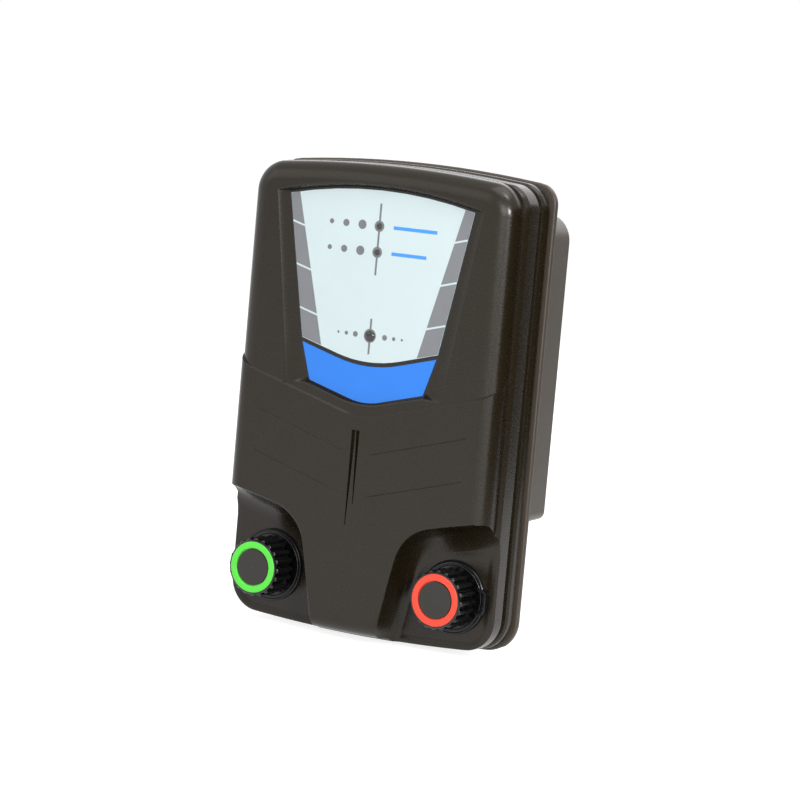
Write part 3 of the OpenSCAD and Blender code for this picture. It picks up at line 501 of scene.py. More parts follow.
# %% [markdown]
# ## The terminal bays
#
# Each bay is scooped out of a lower corner. Its mouth is a slanting upper edge and a leaning inner
# side with a big round corner between them, and its wall runs down to the floor in a quarter of an
# ellipse. The case's rim stays as a low rounded lip along the bay's outer side. So the scoop is
# lofted first, the lip is built as a piece of its own and taken out of the scoop, and what is left
# of the scoop cuts the cover. The scoop ends inside the lip's piece: were it deeper, it would cut a
# slot under the bay's floor.

# %% Terminal bays
bay_depth = bay_y - front_y
bay_top_z, bay_lean = case_low + 65.1, radians(12.5)
bay_side_x, bay_side_z, bay_tilt = term_x - 24.9, case_low + 38.5, radians(12.3)
mouth_r, floor_r = 22.0, 15.0
floor_side_in, floor_top_in = 6, 16
lip_y = bay_y - 0.5
mouth_soft, lip_fade = 1.4, 1.5


def bay_flat(share, grow):
    """The bay's outline at the mouth (share 0) or at its floor (share 1), set out by grow."""
    side = bay_side_x + floor_side_in * share - grow
    top = bay_top_z - floor_top_in * share + grow
    r = mouth_r + (floor_r - mouth_r) * share + grow / 2
    up = Vector((sin(bay_lean), -cos(bay_lean)))
    inner = Vector((cos(bay_tilt), -sin(bay_tilt)))
    from_up = r + Vector((half_w, top)).dot(up)
    from_inner = r + Vector((side, bay_side_z)).dot(inner)
    turn = cos(bay_lean + bay_tilt)
    middle = Vector((from_inner * cos(bay_lean) - from_up * sin(bay_tilt),
                     from_inner * sin(bay_lean) - from_up * cos(bay_tilt))) / turn
    corner = arc(middle, r, pi / 2 + bay_lean, pi - bay_tilt, 20)
    out_x, out_z = half_w + 12, case_low - 12
    high_end = corner[0][1] + (out_x - corner[0][0]) * tan(bay_lean)
    foot = corner[-1][0] - (corner[-1][1] - out_z) * tan(bay_tilt)
    return [(out_x, out_z), (out_x, high_end)] + corner + [(foot, out_z)]


def bay_rings():
    rings = [at_depth(bay_flat(0, mouth_soft), front_y - 4)]
    for angle in [radians(15 * i) for i in range(6)]:
        rings.append(at_depth(bay_flat(0, mouth_soft * (1 - sin(angle))),
                              front_y + mouth_soft * (1 - cos(angle)) - 0.004))
    for angle in [radians(6 + 7 * i) for i in range(13)]:
        rings.append(at_depth(bay_flat(1 - cos(angle), 0), front_y + bay_depth * sin(angle)))
    rings.append(at_depth(bay_flat(1, 0), front_y + bay_depth + 2))
    return rings


def bay_bottom():
    """The floor with its lip: what stays of the case's corner under the bay."""
    lip = [(rim_in - 0.5, 4), (rim_in - 0.5, 1.3), (rim_in + 0.05, 0.7), (rim_in + 0.25, 0.3),
           (rim_in + 0.7, 0.03), (rim_in + 1.1, 0)]
    floor = build_up("bay_floor", [
        at_depth(outline(inset, 14, corner_r + rim_in - inset), lip_y + depth)
        for inset, depth in lip])
    pan_rings = [(7.6, 0.5), (6.8, 0.46), (6.1, 0.34), (5.5, 0.18), (4.9, 0.05), (4.3, -0.01),
                 (4.3, -1)]
    hollow = build_up("bay_pan", [
        [(x, y, z - lip_fade if z < case_mid else z)
         for x, y, z in at_depth(outline(inset, 12, 16.6 - inset), lip_y + depth)]
        for inset, depth in pan_rings])
    cut(floor, hollow)
    return floor


def flip_x(piece):
    """Mirrors a piece across the middle and turns its faces outward again."""
    edit_all(piece)
    bpy.ops.transform.mirror(constraint_axis=(True, False, False), center_override=(0, 0, 0))
    bpy.ops.mesh.normals_make_consistent(inside=False)
    bpy.ops.object.mode_set(mode="OBJECT")


for side in (1, -1):
    scoop = build_up("bay_scoop", bay_rings())
    if side < 0:
        flip_x(scoop)
    cut(scoop, bay_bottom())
    cut(cover, scoop)
report(cover)

# %% [markdown]
# ## The groove and the fine lines
#
# Below the V the face carries two long tapered grooves side by side and two pairs of shallow
# engraved lines that run with the V. They are thin wedges with slanting sides. The right-hand lines
# are found in the photograph, and the left-hand ones are their mirror image.

# %% Groove and lines
def on_side(flat, side):
    """A right-hand outline, or its mirror image, anticlockwise either way."""
    return flat if side > 0 else [(-x, z) for x, z in reversed(flat)]


def wedge_cut(flat, depth):
    """Cuts a flat shape into the front, its walls leaning in towards the bottom."""
    cut(cover, build_up("line_cut", [at_depth(pushed(flat, reach), front_y + y)
                                     for reach, y in ((-0.18, depth), (0, 0), (0.1, -1))]))


tree = BVHTree.FromObject(cover, bpy.context.evaluated_depsgraph_get())
line_ends, half_line, line_deep, groove_deep = {}, 0.25, 0.16, 1.5
for name in ("upper_line", "lower_line"):
    inner, outer = (on_surface(*points[name + end], tree) / mm for end in ("_in", "_out"))
    line_ends[name + "_in"], line_ends[name + "_out"] = inner, outer
    flat = [(inner.x, inner.z - half_line), (outer.x, outer.z - half_line),
            (outer.x, outer.z + half_line), (inner.x, inner.z + half_line)]
    for side in (1, -1):
        wedge_cut(on_side(flat, side), line_deep)
groove_top, half_tip = v_z - 5, 0.2
for top_in, top_out, tip_x, length in ((-3.1, -1.0, -2.7, 44), (-0.7, 1.0, 0.5, 34)):
    low_z = groove_top - length
    wedge_cut([(top_in, groove_top), (tip_x - half_tip, low_z), (tip_x + half_tip, low_z),
               (top_out, groove_top)], groove_deep)
edit_all(cover)
bpy.ops.mesh.remove_doubles(threshold=0.001 * mm)
bpy.ops.object.mode_set(mode="OBJECT")
report(cover)
smooth(cover)
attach(cover, "case")
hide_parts("front_cover")

# %% [markdown]
# ## The rear case
#
# Only its flange and the right-hand side of its box show from the front, but its keyholes, screw
# holes and socket hole show from behind. The solid already has all of them, so a copy of it is
# merged into clean faces and just the flange's long edges are rounded, as a file would round them.
# In the photograph the flange stands out a little more and lies a little deeper than in the solid,
# with a dark gap before it, so its front and its sides are moved by a millimetre or less.

# %% Rear case
flange_ends = flange_line[1:] + flange_line[:1]
flange_spans = [(Vector(a), Vector(b)) for a, b in zip(flange_line, flange_ends)]
flange_round, flange_wide, flange_back = 0.9, 0.8, 1.0
flange_deep, flange_side_x = 4.1, 66.0


def on_rim(vertex):
    """True where a corner lies on the flange's outer edge."""
    place = Vector((vertex.co.x, vertex.co.z)) / mm
    if abs(place.x) > half_w - 0.05:
        return True
    return any((place - a).dot((b - a).normalized().orthogonal()) ** 2 < 0.04
               and (place - a).dot(b - a) > -0.5 and (place - b).dot(a - b) > -0.5
               for a, b in flange_spans)


def copy_of(node, name):
    """A new piece from a CAD node's mesh, with its loose triangles merged into whole faces."""
    piece = bpy.data.objects.new(name, frame["nodes"][node].data.copy())
    bpy.context.scene.collection.objects.link(piece)
    edit_all(piece)
    bpy.ops.mesh.remove_doubles(threshold=0.002 * mm)
    bpy.ops.mesh.dissolve_limited(angle_limit=radians(0.5))
    bpy.ops.mesh.select_all(action="DESELECT")
    return piece


rear = copy_of("rear_case", "rear_shell")
bpy.ops.mesh.select_mode(type="EDGE")
mesh = bmesh.from_edit_mesh(rear.data)
for edge in mesh.edges:
    flat = abs(edge.verts[0].co.y - edge.verts[1].co.y) < 0.01 * mm
    if flat and edge.verts[0].co.y < (flange_y + 4.5) * mm and all(map(on_rim, edge.verts)):
        edge.select_set(True)
bmesh.update_edit_mesh(rear.data)
print("flange edges rounded:", sum(edge.select for edge in mesh.edges))
bpy.ops.mesh.bevel(offset=flange_round * mm, segments=4, affect="EDGES")
bpy.ops.mesh.select_mode(type="VERT")
for reach, wide, back in ((flange_deep, flange_wide, 0), (flange_round + 0.1, 0, flange_back)):
    mesh = bmesh.from_edit_mesh(rear.data)
    for vertex in mesh.verts:
        outer = abs(vertex.co.x) > flange_side_x * mm or not wide
        vertex.select_set(outer and vertex.co.y < (flange_y + reach) * mm)
    bmesh.update_edit_mesh(rear.data)
    print("flange corners moved:", sum(vertex.select for vertex in mesh.verts))
    bpy.ops.transform.resize(value=(1 + wide / half_w, 1, 1), center_override=(0, 0, 0))
    bpy.ops.transform.translate(value=(0, back * mm, 0))
bpy.ops.object.mode_set(mode="OBJECT")
smooth(rear, 30)
report(rear)
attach(rear, "case")
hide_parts("rear_case")

# %% [markdown]
# ## The label and the name plate
#
# Both are thin films, cut to shape and stuck to the pan's floor. The solids carry them already, so
# only the print is added: two grey side bands in four fields each, and in the middle line the
# stems, rings and rows of dots that point to the lamps. A near-black sheet behind both films shows
# as a thin border round them; it is partly their printed dark edge and partly painted shade for the
# gap at their rim. The wording and the maker's sign of the real label are left off, and so is the
# type on the blue plate. Two plain bars stand where the captions are.

# %% Print on the label
def slab(name, flat, front, rear_y, edge=0.0):
    """A flat shape given a thickness, its front edge eased by a small amount."""
    rings = [at_depth(flat, rear_y)]
    if edge:
        rings += [at_depth(pushed(flat, -share * edge), front + depth * edge)
                  for share, depth in ((0, 1), (0.3, 0.3))]
    return build_up(name, rings + [at_depth(pushed(flat, -edge) if edge else flat, front)])


def disc(x, z, r, steps=32):
    return arc((x, z), r, 0, 2 * pi, steps)[:-1]


def joined(name, parts):
    deselect()
    for part in parts:
        part.select_set(True)
    bpy.context.view_layer.objects.active = parts[0]
    bpy.ops.object.join()
    parts[0].name = parts[0].data.name = name
    return parts[0]


# The near-black border's width: partly printed edge, partly painted shade of the gap at the films'
# rim.
print_t, print_sink, border_shade_w = 0.03, 0.02, 0.8
label_flat = point_line(label_low_x, label_low_z, label_round) + arch_line(label_top_x, label_top_z)
plate_flat = (point_line(plate_low_x, plate_low_z, plate_round)
              + point_line(label_low_x - 0.5, label_low_z - 2.1, label_round)[::-1])
lamps = ("input_lamp", "pulse_lamp", "fence_lamp")
lamp_z = [(low(node).z + high(node).z) / 2 for node in lamps]

# A near-black sheet behind both films: partly their printed edge, partly painted shade for the gap
# at their rim.
border_and_gap_shade = joined("label_edge_and_gap_shade", [
    slab("edge", pushed(flat, border_shade_w), label_back_y - 0.06, label_back_y + 0.04)
    for flat in (label_flat, plate_flat)])


def printed(flat, layer=0):
    return slab("ink", flat, label_y - print_t * (1 + layer), label_y + print_sink)


outer_band = Vector((label_top_x, label_top_z - 0.1)), Vector((label_low_x, label_low_z + 0.15))
inner_band = Vector((44.1, label_top_z + 0.95)), Vector((25.7, label_low_z - 2.6))
fields = [(0, 0.183), (0.197, 0.483), (0.497, 0.787), (0.801, 1)]


def across_band(share):
    """The two ends of a cut across the side band, which runs down to the middle like the V."""
    outer = outer_band[0].lerp(outer_band[1], share)
    if share in (0, 1):
        return outer, inner_band[share]
    start, way = inner_band[0], inner_band[1] - inner_band[0]
    rise = outer.y - outer.x * v_slope - (start.y - start.x * v_slope)
    return outer, start + way * rise / (way.y - way.x * v_slope)


bands = []
for side in (1, -1):
    for start, end in fields:
        (top_out, top_inner), (low_out, low_in) = across_band(start), across_band(end)
        field = [tuple(corner) for corner in (top_out, top_inner, low_in, low_out)]
        bands.append(printed(on_side(field, side)))
bands = joined("label_bands", bands)


def bar(x0, x1, z0, z1):
    return [(x0, z0), (x1, z0), (x1, z1), (x0, z1)]


stem_half, caption_x, caption_half = 0.5, 7.6, 0.8
marks = [printed(bar(-stem_half, stem_half, lamp_z[1] - 10.5, lamp_z[0] + 10.4)),
         printed(bar(-stem_half, stem_half, lamp_z[2] - 8.5, lamp_z[2] + 7.9))]
rings = [printed(disc(0, z, r), 1) for z, r in zip(lamp_z, (2.55, 2.55, 3.2))]
left_dots = ((-25.6, 1.15), (-17.8, 1.65), (-9.1, 2.15))
low_dots = ((7.84, 1.3), (12.7, 0.9), (17.0, 0.6))
for z in lamp_z[:2]:
    marks += [printed(disc(x, z, r)) for x, r in left_dots]
for side in (1, -1):
    marks += [printed(disc(side * x, lamp_z[2], r)) for x, r in low_dots]
marks = joined("label_marks", marks)
rings = joined("lamp_rings", rings)
captions = joined("label_captions", [
    printed(bar(caption_x, caption_x + length, z - caption_half, z + caption_half))
    for z, length in zip(lamp_z, (23, 18.5))])
for piece in (border_and_gap_shade, bands, marks, rings, captions):
    report(piece)
    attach(piece, "case")

# %% [markdown]
# ## The lamps
#
# A pilot lamp is a small domed lens that stands a little proud of the label. Unlit, it looks almost
# black with one bright glint, so its front has to be truly round.

# %% Lamps
lens_y = label_y - 0.05
for node, z in zip(lamps, lamp_z):
    r = (high(node).x - low(node).x) / 2 - 0.5
    proud = 0.45 * r
    shape = [(r, high(node).y), (r, lens_y)]
    shape += [(r * cos(a), lens_y - proud * sin(a)) for a in [radians(15 * i) for i in range(1, 6)]]
    shape += [(0.05 * r, lens_y - proud)]
    lens = build_up(node + "_lens", [at_depth(disc(0, z, ring_r), y) for ring_r, y in shape])
    smooth(lens, 60)
    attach(lens, "case")
    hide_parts(node)
    report(lens)

# %% [markdown]
# ## The terminal knobs
#
# A knob is a short drum with twenty rounded ribs. A coloured ring is pressed into its front and a
# dark cap fills the ring. The ribs are part of the outline, so the drum is one loft whose outline
# is ribbed in the middle and goes back to a plain circle at the front.

# %% Knobs
rib_count, rib_r = 20, 1.2
knob_front, knob_back = low("fence_knob").y, high("fence_knob").y
knob_r = (high("fence_knob").x - low("fence_knob").x) / 2
ring_y = low("fence_ring").y
ring_r = (high("fence_ring").x - low("fence_ring").x) / 2
cap_r = (high("fence_cap").x - low("fence_cap").x) / 2
drum_r, rim_r = ring_r + 0.4, ring_r + 0.8


def ribbed(x, core, rib, reach):
    """A circle with ribs on it: core is the drum's radius, reach the ribs' own."""
    line = []
    middle = reach - rib
    for i in range(rib_count):
        turn = 2 * pi * i / rib_count
        for part in (-1, -0.93, -0.75, -0.45, -0.15, 0.15, 0.45, 0.75, 0.93, 1):
            lean = part * rib / middle
            out = middle * cos(lean) + sqrt(max(rib ** 2 - (middle * sin(lean)) ** 2, 0))
            out = max(out, core)
            line.append((x + out * cos(turn + lean), term_z + out * sin(turn + lean)))
        for share in (0.33, 0.67):
            lean = rib / middle + share * (2 * pi / rib_count - 2 * rib / middle)
            line.append((x + core * cos(turn + lean), term_z + core * sin(turn + lean)))
    return line


def plain_ring(x, ring, r, y):
    """A ribbed ring's points drawn onto a plain circle of radius r."""
    drawn = []
    for px, _, pz in ring:
        share = r / hypot(px - x, pz - term_z)
        drawn.append((x + share * (px - x), y, term_z + share * (pz - term_z)))
    return drawn


def knob_rings(x):
    shape = [(1.2, 0.9, 0.9, knob_back), (0.5, rib_r, 0, knob_back - 0.5),
             (0.5, rib_r, 0, knob_front + 1.7), (0.4, rib_r, 0.15, knob_front + 1.2),
             (0.2, rib_r, 0.5, knob_front + 0.95)]
    rings = [at_depth(ribbed(x, drum_r - core_in, rib, knob_r - rib_in), y)
             for core_in, rib, rib_in, y in shape]
    plain = [(rim_r, 0.8), (rim_r, 0.25), (rim_r - 0.2, 0),
             (ring_r + 0.02, 0), (ring_r - 0.02, 0.3), (ring_r - 0.02, 2.0)]
    return rings + [plain_ring(x, rings[0], r, knob_front + depth) for r, depth in plain]


def turned(name, x, profile):
    """A closed turned piece through (radius, depth) pairs about a terminal's axis."""
    return build_up(name, [at_depth(disc(x, term_z, r, 96), y) for r, y in profile])


for terminal, x in (("fence", term_x), ("earth", -term_x)):
    knob = build_up(terminal + "_grip", knob_rings(x))
    smooth(knob, 40)
    ring_end = ring_y + 2.4
    ring = turned(terminal + "_band", x, [
        (ring_r - 0.03, ring_end), (ring_r - 0.03, ring_y + 0.35), (ring_r - 0.12, ring_y + 0.1),
        (ring_r - 0.35, ring_y), (cap_r + 0.3, ring_y), (cap_r + 0.1, ring_y + 0.08),
        (cap_r, ring_y + 0.3), (cap_r, ring_y + 1.2)])
    smooth(ring, 50)
    cap = turned(terminal + "_disc", x, [
        (cap_r - 0.4, ring_end), (cap_r - 0.4, ring_y + 0.6), (cap_r - 0.5, ring_y + 0.4),
        (cap_r - 0.8, ring_y + 0.3), (cap_r * 0.7, ring_y + 0.3), (cap_r * 0.35, ring_y + 0.38),
        (0.75, ring_y + 0.4), (0.6, ring_y + 0.3), (0.4, ring_y + 0.3), (0.3, ring_y + 0.42)])
    smooth(cap, 30)
    for piece, node, slot in ((knob, "_knob", "black_plastic"), (ring, "_ring", None),
                              (cap, "_cap", "cap_plastic")):
        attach(piece, terminal + "_screw")
        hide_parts(terminal + node)
        report(piece)

# %% [markdown]
# ## The collars
#
# A collar is a shallow dish round the stud, whose lip is two rounded ridges, and on its outer side
# a C-shaped loop that holds the fence wire. The dish is turned and the loop is a bent wall, so the
# two are built apart and joined.

# %% Collars
collar_r = 17.0
lip_h, lip_w = 2.0, 2.6
loop_h, loop_w, loop_half, loop_r = 3.8, 1.4, 6.2, 3.2
loop_in, loop_out = collar_r - 3.2, collar_r + 1.4
loop_flat = ([(loop_in, -loop_half)]
             + arc((loop_out - loop_r, loop_r - loop_half), loop_r, -pi / 2, 0, 6)
             + arc((loop_out - loop_r, loop_half - loop_r), loop_r, 0, pi / 2, 6)
             + [(loop_in, loop_half), (loop_in, loop_half - loop_w)]
             + arc((loop_out - loop_r, loop_half - loop_r), loop_r - loop_w, pi / 2, 0, 6)
             + arc((loop_out - loop_r, loop_r - loop_half), loop_r - loop_w, 0, -pi / 2, 6)
             + [(loop_in, loop_w - loop_half)])
dish_shape = [  # how far in from the collar's edge, and how deep below its lip
    (0, lip_h + 0.3), (0, 0.7), (0.07, 0.42), (0.25, 0.15), (0.5, 0), (0.8, 0.1), (1.0, 0.5),
    (lip_w - 1.1, 0.5), (lip_w - 1.03, 0.3), (lip_w - 0.85, 0.08), (lip_w - 0.6, 0),
    (lip_w - 0.1, 0.15), (lip_w, 0.5), (lip_w, lip_h - 1.05), (collar_r - 3.2, lip_h - 1.0)]
for terminal, side in (("fence", 1), ("earth", -1)):
    x = side * term_x
    dish = turned(terminal + "_dish", x, [
        (collar_r - inset, bay_y - lip_h + depth) for inset, depth in dish_shape])
    flat = [(x + px, term_z + pz) for px, pz in on_side(loop_flat, side)]
    loop = slab("loop", flat, bay_y - loop_h, bay_y + 0.3, 0.22)
    collar = joined(terminal + "_wire_collar", [dish, loop])
    smooth(collar, 40)
    report(collar)
    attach(collar, "case")
    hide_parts(terminal + "_collar")

# %% [markdown]
# ## Finishes
#
# Every finish is worked out from the object's own coordinates, so it stays put from all sides. A
# moulded plastic is a dark colour that drifts a little, a fine grain from the mould's etched steel
# that bumps the surface, and a roughness that wanders with it. The helper builds such a plastic,
# and each material below gives it a colour, a grain and a gloss.

# %% Material helpers
drift_scale = 60


def tone(red, green, blue):
    """A colour as read off a screen, 0 to 255, as the renderer's linear values."""
    def linear(value):
        value /= 255
        return value / 12.92 if value <= 0.04045 else ((value + 0.055) / 1.055) ** 2.4
    return linear(red), linear(green), linear(blue), 1


def blank_material(name):
    material = bpy.data.materials.new(name)
    material.use_nodes = True
    nodes, links = material.node_tree.nodes, material.node_tree.links
    nodes.clear()
    output = nodes.new("ShaderNodeOutputMaterial")
    shader = nodes.new("ShaderNodeBsdfPrincipled")
    links.new(shader.outputs["BSDF"], output.inputs["Surface"])
    return material, nodes, links, shader


def noise(nodes, links, scale, detail, stretch=(1, 1, 1)):
    """A noise pattern on the object's own coordinates, optionally stretched along an axis."""
    place = nodes.new("ShaderNodeTexCoord")
    mapping = nodes.new("ShaderNodeMapping")
    mapping.inputs["Scale"].default_value = stretch
    pattern = nodes.new("ShaderNodeTexNoise")
    pattern.inputs["Scale"].default_value = scale
    pattern.inputs["Detail"].default_value = detail
    links.new(place.outputs["Object"], mapping.inputs["Vector"])
    links.new(mapping.outputs["Vector"], pattern.inputs["Vector"])
    return pattern.outputs["Fac"]


def ramp(nodes, links, source, first, last):
    """Two colours or levels spread over the middle of a pattern's range."""
    node = nodes.new("ShaderNodeValToRGB")
    for stop, place, colour in zip(node.color_ramp.elements, (0.3, 0.7), (first, last)):
        stop.position = place
        stop.color = colour
    links.new(source, node.inputs["Fac"])
    return node.outputs["Color"]


def grey(level):
    return level, level, level, 1


def finish(name, colour, drift, gloss, grain, bump, metal=0.0, coat=0.0, specular=0.45,
           stretch=(1, 1, 1)):
    """A surface with a drifting colour, a roughness between two levels and a fine grain."""
    material, nodes, links, shader = blank_material(name)
    darker = tuple(c * (1 - drift) for c in colour[:3]) + (1,)
    lighter = tuple(min(c * (1 + drift), 1) for c in colour[:3]) + (1,)
    wide = noise(nodes, links, drift_scale, 3)
    links.new(ramp(nodes, links, wide, darker, lighter), shader.inputs["Base Color"])
    fine = noise(nodes, links, grain, 2, stretch)
    links.new(ramp(nodes, links, fine, *map(grey, gloss)), shader.inputs["Roughness"])
    shader.inputs["Metallic"].default_value = metal
    shader.inputs["Coat Weight"].default_value = coat
    shader.inputs["Specular IOR Level"].default_value = specular
    relief = nodes.new("ShaderNodeBump")
    relief.inputs["Strength"].default_value = 1.0
    relief.inputs["Distance"].default_value = bump * mm
    links.new(fine, relief.inputs["Height"])
    links.new(relief.outputs["Normal"], shader.inputs["Normal"])
    return material


def dress(material, *names):
    """Gives one material to CAD nodes or new pieces, each by its name."""
    for name in names:
        mesh = (frame["nodes"].get(name) or bpy.data.objects[name]).data
        mesh.materials.clear()
        mesh.materials.append(material)


# %% [markdown]
# ## The case's plastics
#
# The cover is a warm, dark brown-grey with the fine leathery grain of a spark-eroded mould. The
# rear case is the same resin in a lighter shade. The knobs and collars are smoother and near black.

# %% Plastics
dress(finish("cover_plastic", tone(30, 24, 13), 0.06, (0.2, 0.3), 1500, 0.024, specular=0.34),
      "cover_shell")
dress(finish("case_plastic", tone(70, 63, 55), 0.05, (0.3, 0.42), 1500, 0.02, specular=0.36),
      "rear_shell")
dress(finish("knob_plastic", tone(12, 12, 13), 0.08, (0.2, 0.28), 900, 0.008),
      "fence_grip", "earth_grip", "fence_wire_collar", "earth_wire_collar")
dress(finish("cap_plastic", tone(34, 31, 26), 0.05, (0.36, 0.48), 1600, 0.02),
      "fence_disc", "earth_disc")
dress(finish("red_ring_plastic", tone(240, 74, 52), 0.03, (0.3, 0.4), 900, 0.006), "fence_band")
dress(finish("green_ring_plastic", tone(92, 222, 72), 0.03, (0.3, 0.4), 900, 0.006), "earth_band")

# %% Label, ink and lenses
dress(finish("label_film", tone(200, 215, 217), 0.012, (0.3, 0.38), 700, 0.003), "label_plate")
dress(finish("blue_film", tone(42, 123, 222), 0.02, (0.3, 0.38), 700, 0.003), "name_plate")
dress(finish("band_ink", tone(122, 124, 128), 0.03, (0.35, 0.45), 900, 0.003), "label_bands")
dress(finish("mark_ink", tone(112, 114, 117), 0.03, (0.35, 0.45), 900, 0.003),
      "label_marks", "lamp_rings")
# Near-black border: partly printed edge and partly painted shade of the gap round the films.
dress(finish("edge_ink_and_gap_shade", tone(16, 16, 17), 0.05, (0.4, 0.5), 900, 0.003), "label_edge_and_gap_shade")
dress(finish("caption_ink", tone(70, 150, 240), 0.03, (0.35, 0.45), 900, 0.003), "label_captions")
dress(finish("lamp_lens", tone(30, 28, 26), 0.1, (0.06, 0.12), 400, 0.002, coat=0.5),
      *[node + "_lens" for node in lamps])
print("materials on what shows:", len(bpy.data.materials))

# %% [markdown]
# ## The hidden parts
#
# The circuit and its fittings are only seen when the case is opened in a cut-away, but they are
# kept and dressed all the same: brushed metals, lacquered boards, enamelled wire and taped coils.

# %% Metals and circuit parts
dress(finish("zinc_plate", tone(190, 192, 196), 0.05, (0.3, 0.42), 500, 0.004, metal=1.0),
      "case_screws", "board_screws", "lamp_board_screws", "stud_nuts", "base_washers",
      "fence_clamp_washer", "earth_clamp_washer", "lead_lugs", "fuse_clips", "socket_nut",
      "transformer_clamp")
dress(finish("brass", tone(206, 172, 96), 0.05, (0.25, 0.35), 600, 0.004, metal=1.0,
             stretch=(1, 6, 1)),
      "fence_stud", "earth_stud", "fence_insert", "earth_insert")
dress(finish("sink_aluminium", tone(200, 202, 206), 0.04, (0.32, 0.45), 500, 0.005, metal=1.0,
             stretch=(1, 1, 8)), "heat_sink")
dress(finish("core_steel", tone(96, 98, 102), 0.08, (0.4, 0.55), 900, 0.02, metal=0.8,
             stretch=(1, 14, 1)), "transformer_core")
dress(finish("coil_copper", tone(176, 98, 44), 0.12, (0.25, 0.35), 900, 0.05, metal=0.6,
             stretch=(0.3, 0.3, 6)), "transformer_coil")
print("materials with the metals:", len(bpy.data.materials))

# %% Circuit parts, seal and leads
dress(finish("coil_tape", tone(216, 186, 70), 0.06, (0.3, 0.4), 500, 0.01), "inverter_coil")
dress(finish("ferrite", tone(52, 53, 56), 0.1, (0.5, 0.65), 1200, 0.02), "inverter_core")
dress(finish("board_lacquer", tone(26, 104, 58), 0.12, (0.25, 0.35), 700, 0.01),
      "main_board", "lamp_board")
dress(finish("amber_case", tone(214, 140, 36), 0.05, (0.25, 0.35), 600, 0.01),
      "storage_capacitor")
dress(finish("black_resin", tone(28, 28, 30), 0.08, (0.4, 0.5), 1200, 0.01),
      "thyristor", "rectifiers", "control_chip", "power_socket")
dress(finish("seal_rubber", tone(24, 24, 24), 0.1, (0.65, 0.8), 1600, 0.03), "case_seal")
dress(finish("red_sleeve", tone(196, 34, 28), 0.05, (0.35, 0.45), 700, 0.006),
      "fence_lead", "power_lead")
dress(finish("green_sleeve", tone(34, 128, 52), 0.05, (0.35, 0.45), 700, 0.006), "earth_lead")
dress(finish("grey_sleeve", tone(148, 148, 152), 0.05, (0.4, 0.5), 700, 0.02,
             stretch=(12, 1, 1)), "ribbon_lead")
dress(finish("blue_resin", tone(36, 76, 160), 0.06, (0.3, 0.4), 700, 0.006), "surge_disc")
dress(finish("blue_shrink", tone(34, 44, 100), 0.06, (0.25, 0.35), 700, 0.006),
      "filter_capacitor")
dress(finish("fuse_glass", tone(214, 222, 226), 0.02, (0.04, 0.08), 300, 0.001, coat=0.4), "fuse")
print("materials in all:", len(bpy.data.materials))

# %% [markdown]
# ## Floor, light and background
#
# A product photograph of this kind is lit by soft boxes on a white sweep. Near-black plastic hardly
# shows its own colour: what the eye reads is the white around it, mirrored at four hundredths of
# its strength. So each lamp here stands where the photograph's plastic shows its reflection. A
# small key on the right gives the glint in the rounded upper corner, two wide boxes in front fill,
# one overhead draws the rim, one behind lifts the case, and a small one high on the right picks out
# edges. The cover's right side is dark in the photograph, so a black flag stands there, out of the
# camera's sight. The white of the background comes from the world's and the floor's own colour
# where the camera, or a mirroring surface, looks at them, so the object is lit at a plain level.

# %% Stage
lamp_aim = Vector((0, -0.05, -0.02))


def soft_box(name, place, size, power):
    """A rectangular lamp in metres and watts, turned to face the object."""
    deselect()
    bpy.ops.object.light_add(type="AREA", location=place)
    lamp = bpy.context.active_object
    lamp.name = name
    lamp.data.shape = "RECTANGLE"
    lamp.data.size, lamp.data.size_y = size
    lamp.data.energy = power
    lamp.rotation_euler = (Vector(place) - lamp_aim).to_track_quat("Z", "Y").to_euler()


def seen_directly(nodes, links):
    """1 for the camera's rays and for those that metal or glass sends on, 0 for the light's."""
    ray = nodes.new("ShaderNodeLightPath")
    found_ray = ray.outputs["Is Camera Ray"]
    for kind in ("Is Glossy Ray", "Is Transmission Ray"):
        either = nodes.new("ShaderNodeMath")
        either.operation = "MAXIMUM"
        links.new(found_ray, either.inputs[0])
        links.new(ray.outputs[kind], either.inputs[1])
        found_ray = either.outputs[0]
    return found_ray


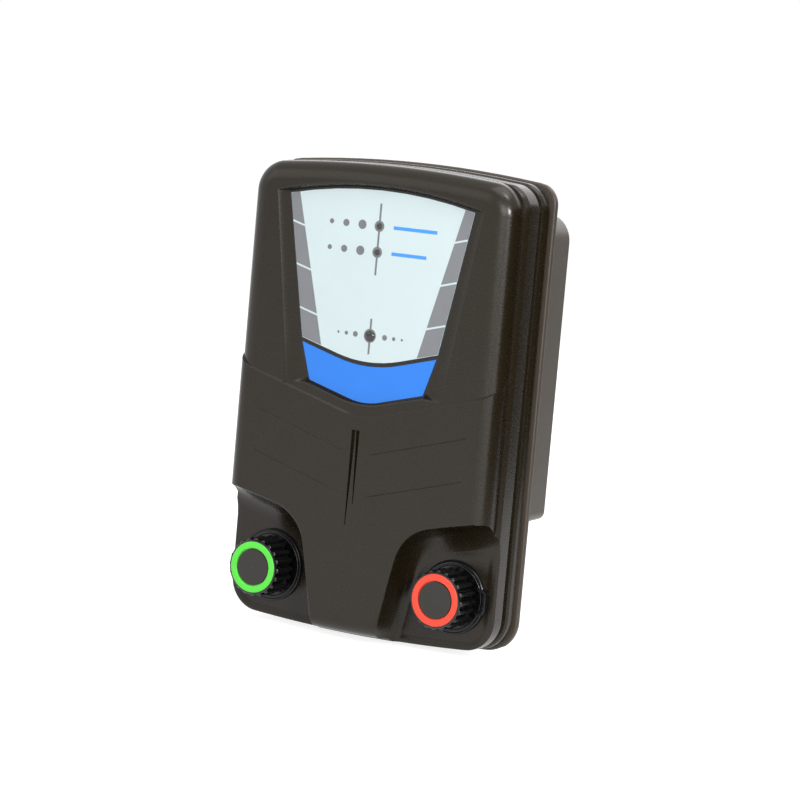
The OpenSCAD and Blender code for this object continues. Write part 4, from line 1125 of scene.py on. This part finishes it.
soft_box("key_box", (1.03, -0.88, 0.33), (0.15, 0.2), 11)
soft_box("right_box", (0.62, -1.5, 0.38), (0.7, 0.6), 7)
soft_box("left_box", (-1.15, -1.35, 0.85), (1.5, 1.0), 4)
soft_box("top_box", (0.25, -0.15, 1.5), (1.7, 1.0), 12)
soft_box("back_box", (-0.2, 1.6, 0.9), (2.4, 0.9), 8)
soft_box("edge_box", (0.62, -0.4, 1.18), (0.34, 0.3), 4)

# %% Flag, backdrop and floor
deselect()
bpy.ops.mesh.primitive_plane_add(size=1, location=(0.47, 0.12, 0.0))
flag = bpy.context.active_object
flag.name = "black_flag"
flag.scale = (1.0, 0.5, 1)
flag.rotation_euler = Vector((-0.78, -0.25, 0)).to_track_quat("Z", "Y").to_euler()
flag.visible_camera = False
black_cloth, nodes, links, shader = blank_material("black_cloth")
shader.inputs["Base Color"].default_value = grey(0.01)
shader.inputs["Specular IOR Level"].default_value = 0
dress(black_cloth, "black_flag")

fill_strength, floor_strength = 0.38, 0.85
world = bpy.data.worlds.new("white_sweep")
bpy.context.scene.world = world
world.use_nodes = True
nodes, links = world.node_tree.nodes, world.node_tree.links
nodes.clear()
soft, white = nodes.new("ShaderNodeBackground"), nodes.new("ShaderNodeBackground")
soft.inputs["Color"].default_value = white.inputs["Color"].default_value = grey(1)
soft.inputs["Strength"].default_value = fill_strength
white.inputs["Strength"].default_value = 1.0
mix = nodes.new("ShaderNodeMixShader")
world_out = nodes.new("ShaderNodeOutputWorld")
links.new(seen_directly(nodes, links), mix.inputs["Fac"])
links.new(soft.outputs[0], mix.inputs[1])
links.new(white.outputs[0], mix.inputs[2])
links.new(mix.outputs[0], world_out.inputs["Surface"])

deselect()
bpy.ops.mesh.primitive_plane_add(size=60, location=(0, 0, case_low * mm - 0.0005))
floor = bpy.context.active_object
floor.name = "floor"
floor_white, nodes, links, shader = blank_material("floor_white")
shader.inputs["Base Color"].default_value = grey(0.5)
shader.inputs["Roughness"].default_value = 0.9
shader.inputs["Specular IOR Level"].default_value = 0
shader.inputs["Emission Color"].default_value = grey(1)
share = nodes.new("ShaderNodeMath")
share.operation = "MULTIPLY"
share.inputs[1].default_value = floor_strength
links.new(seen_directly(nodes, links), share.inputs[0])
links.new(share.outputs[0], shader.inputs["Emission Strength"])
dress(floor_white, "floor")
print("stage pieces:", flag.name, floor.name, "under", world.name)
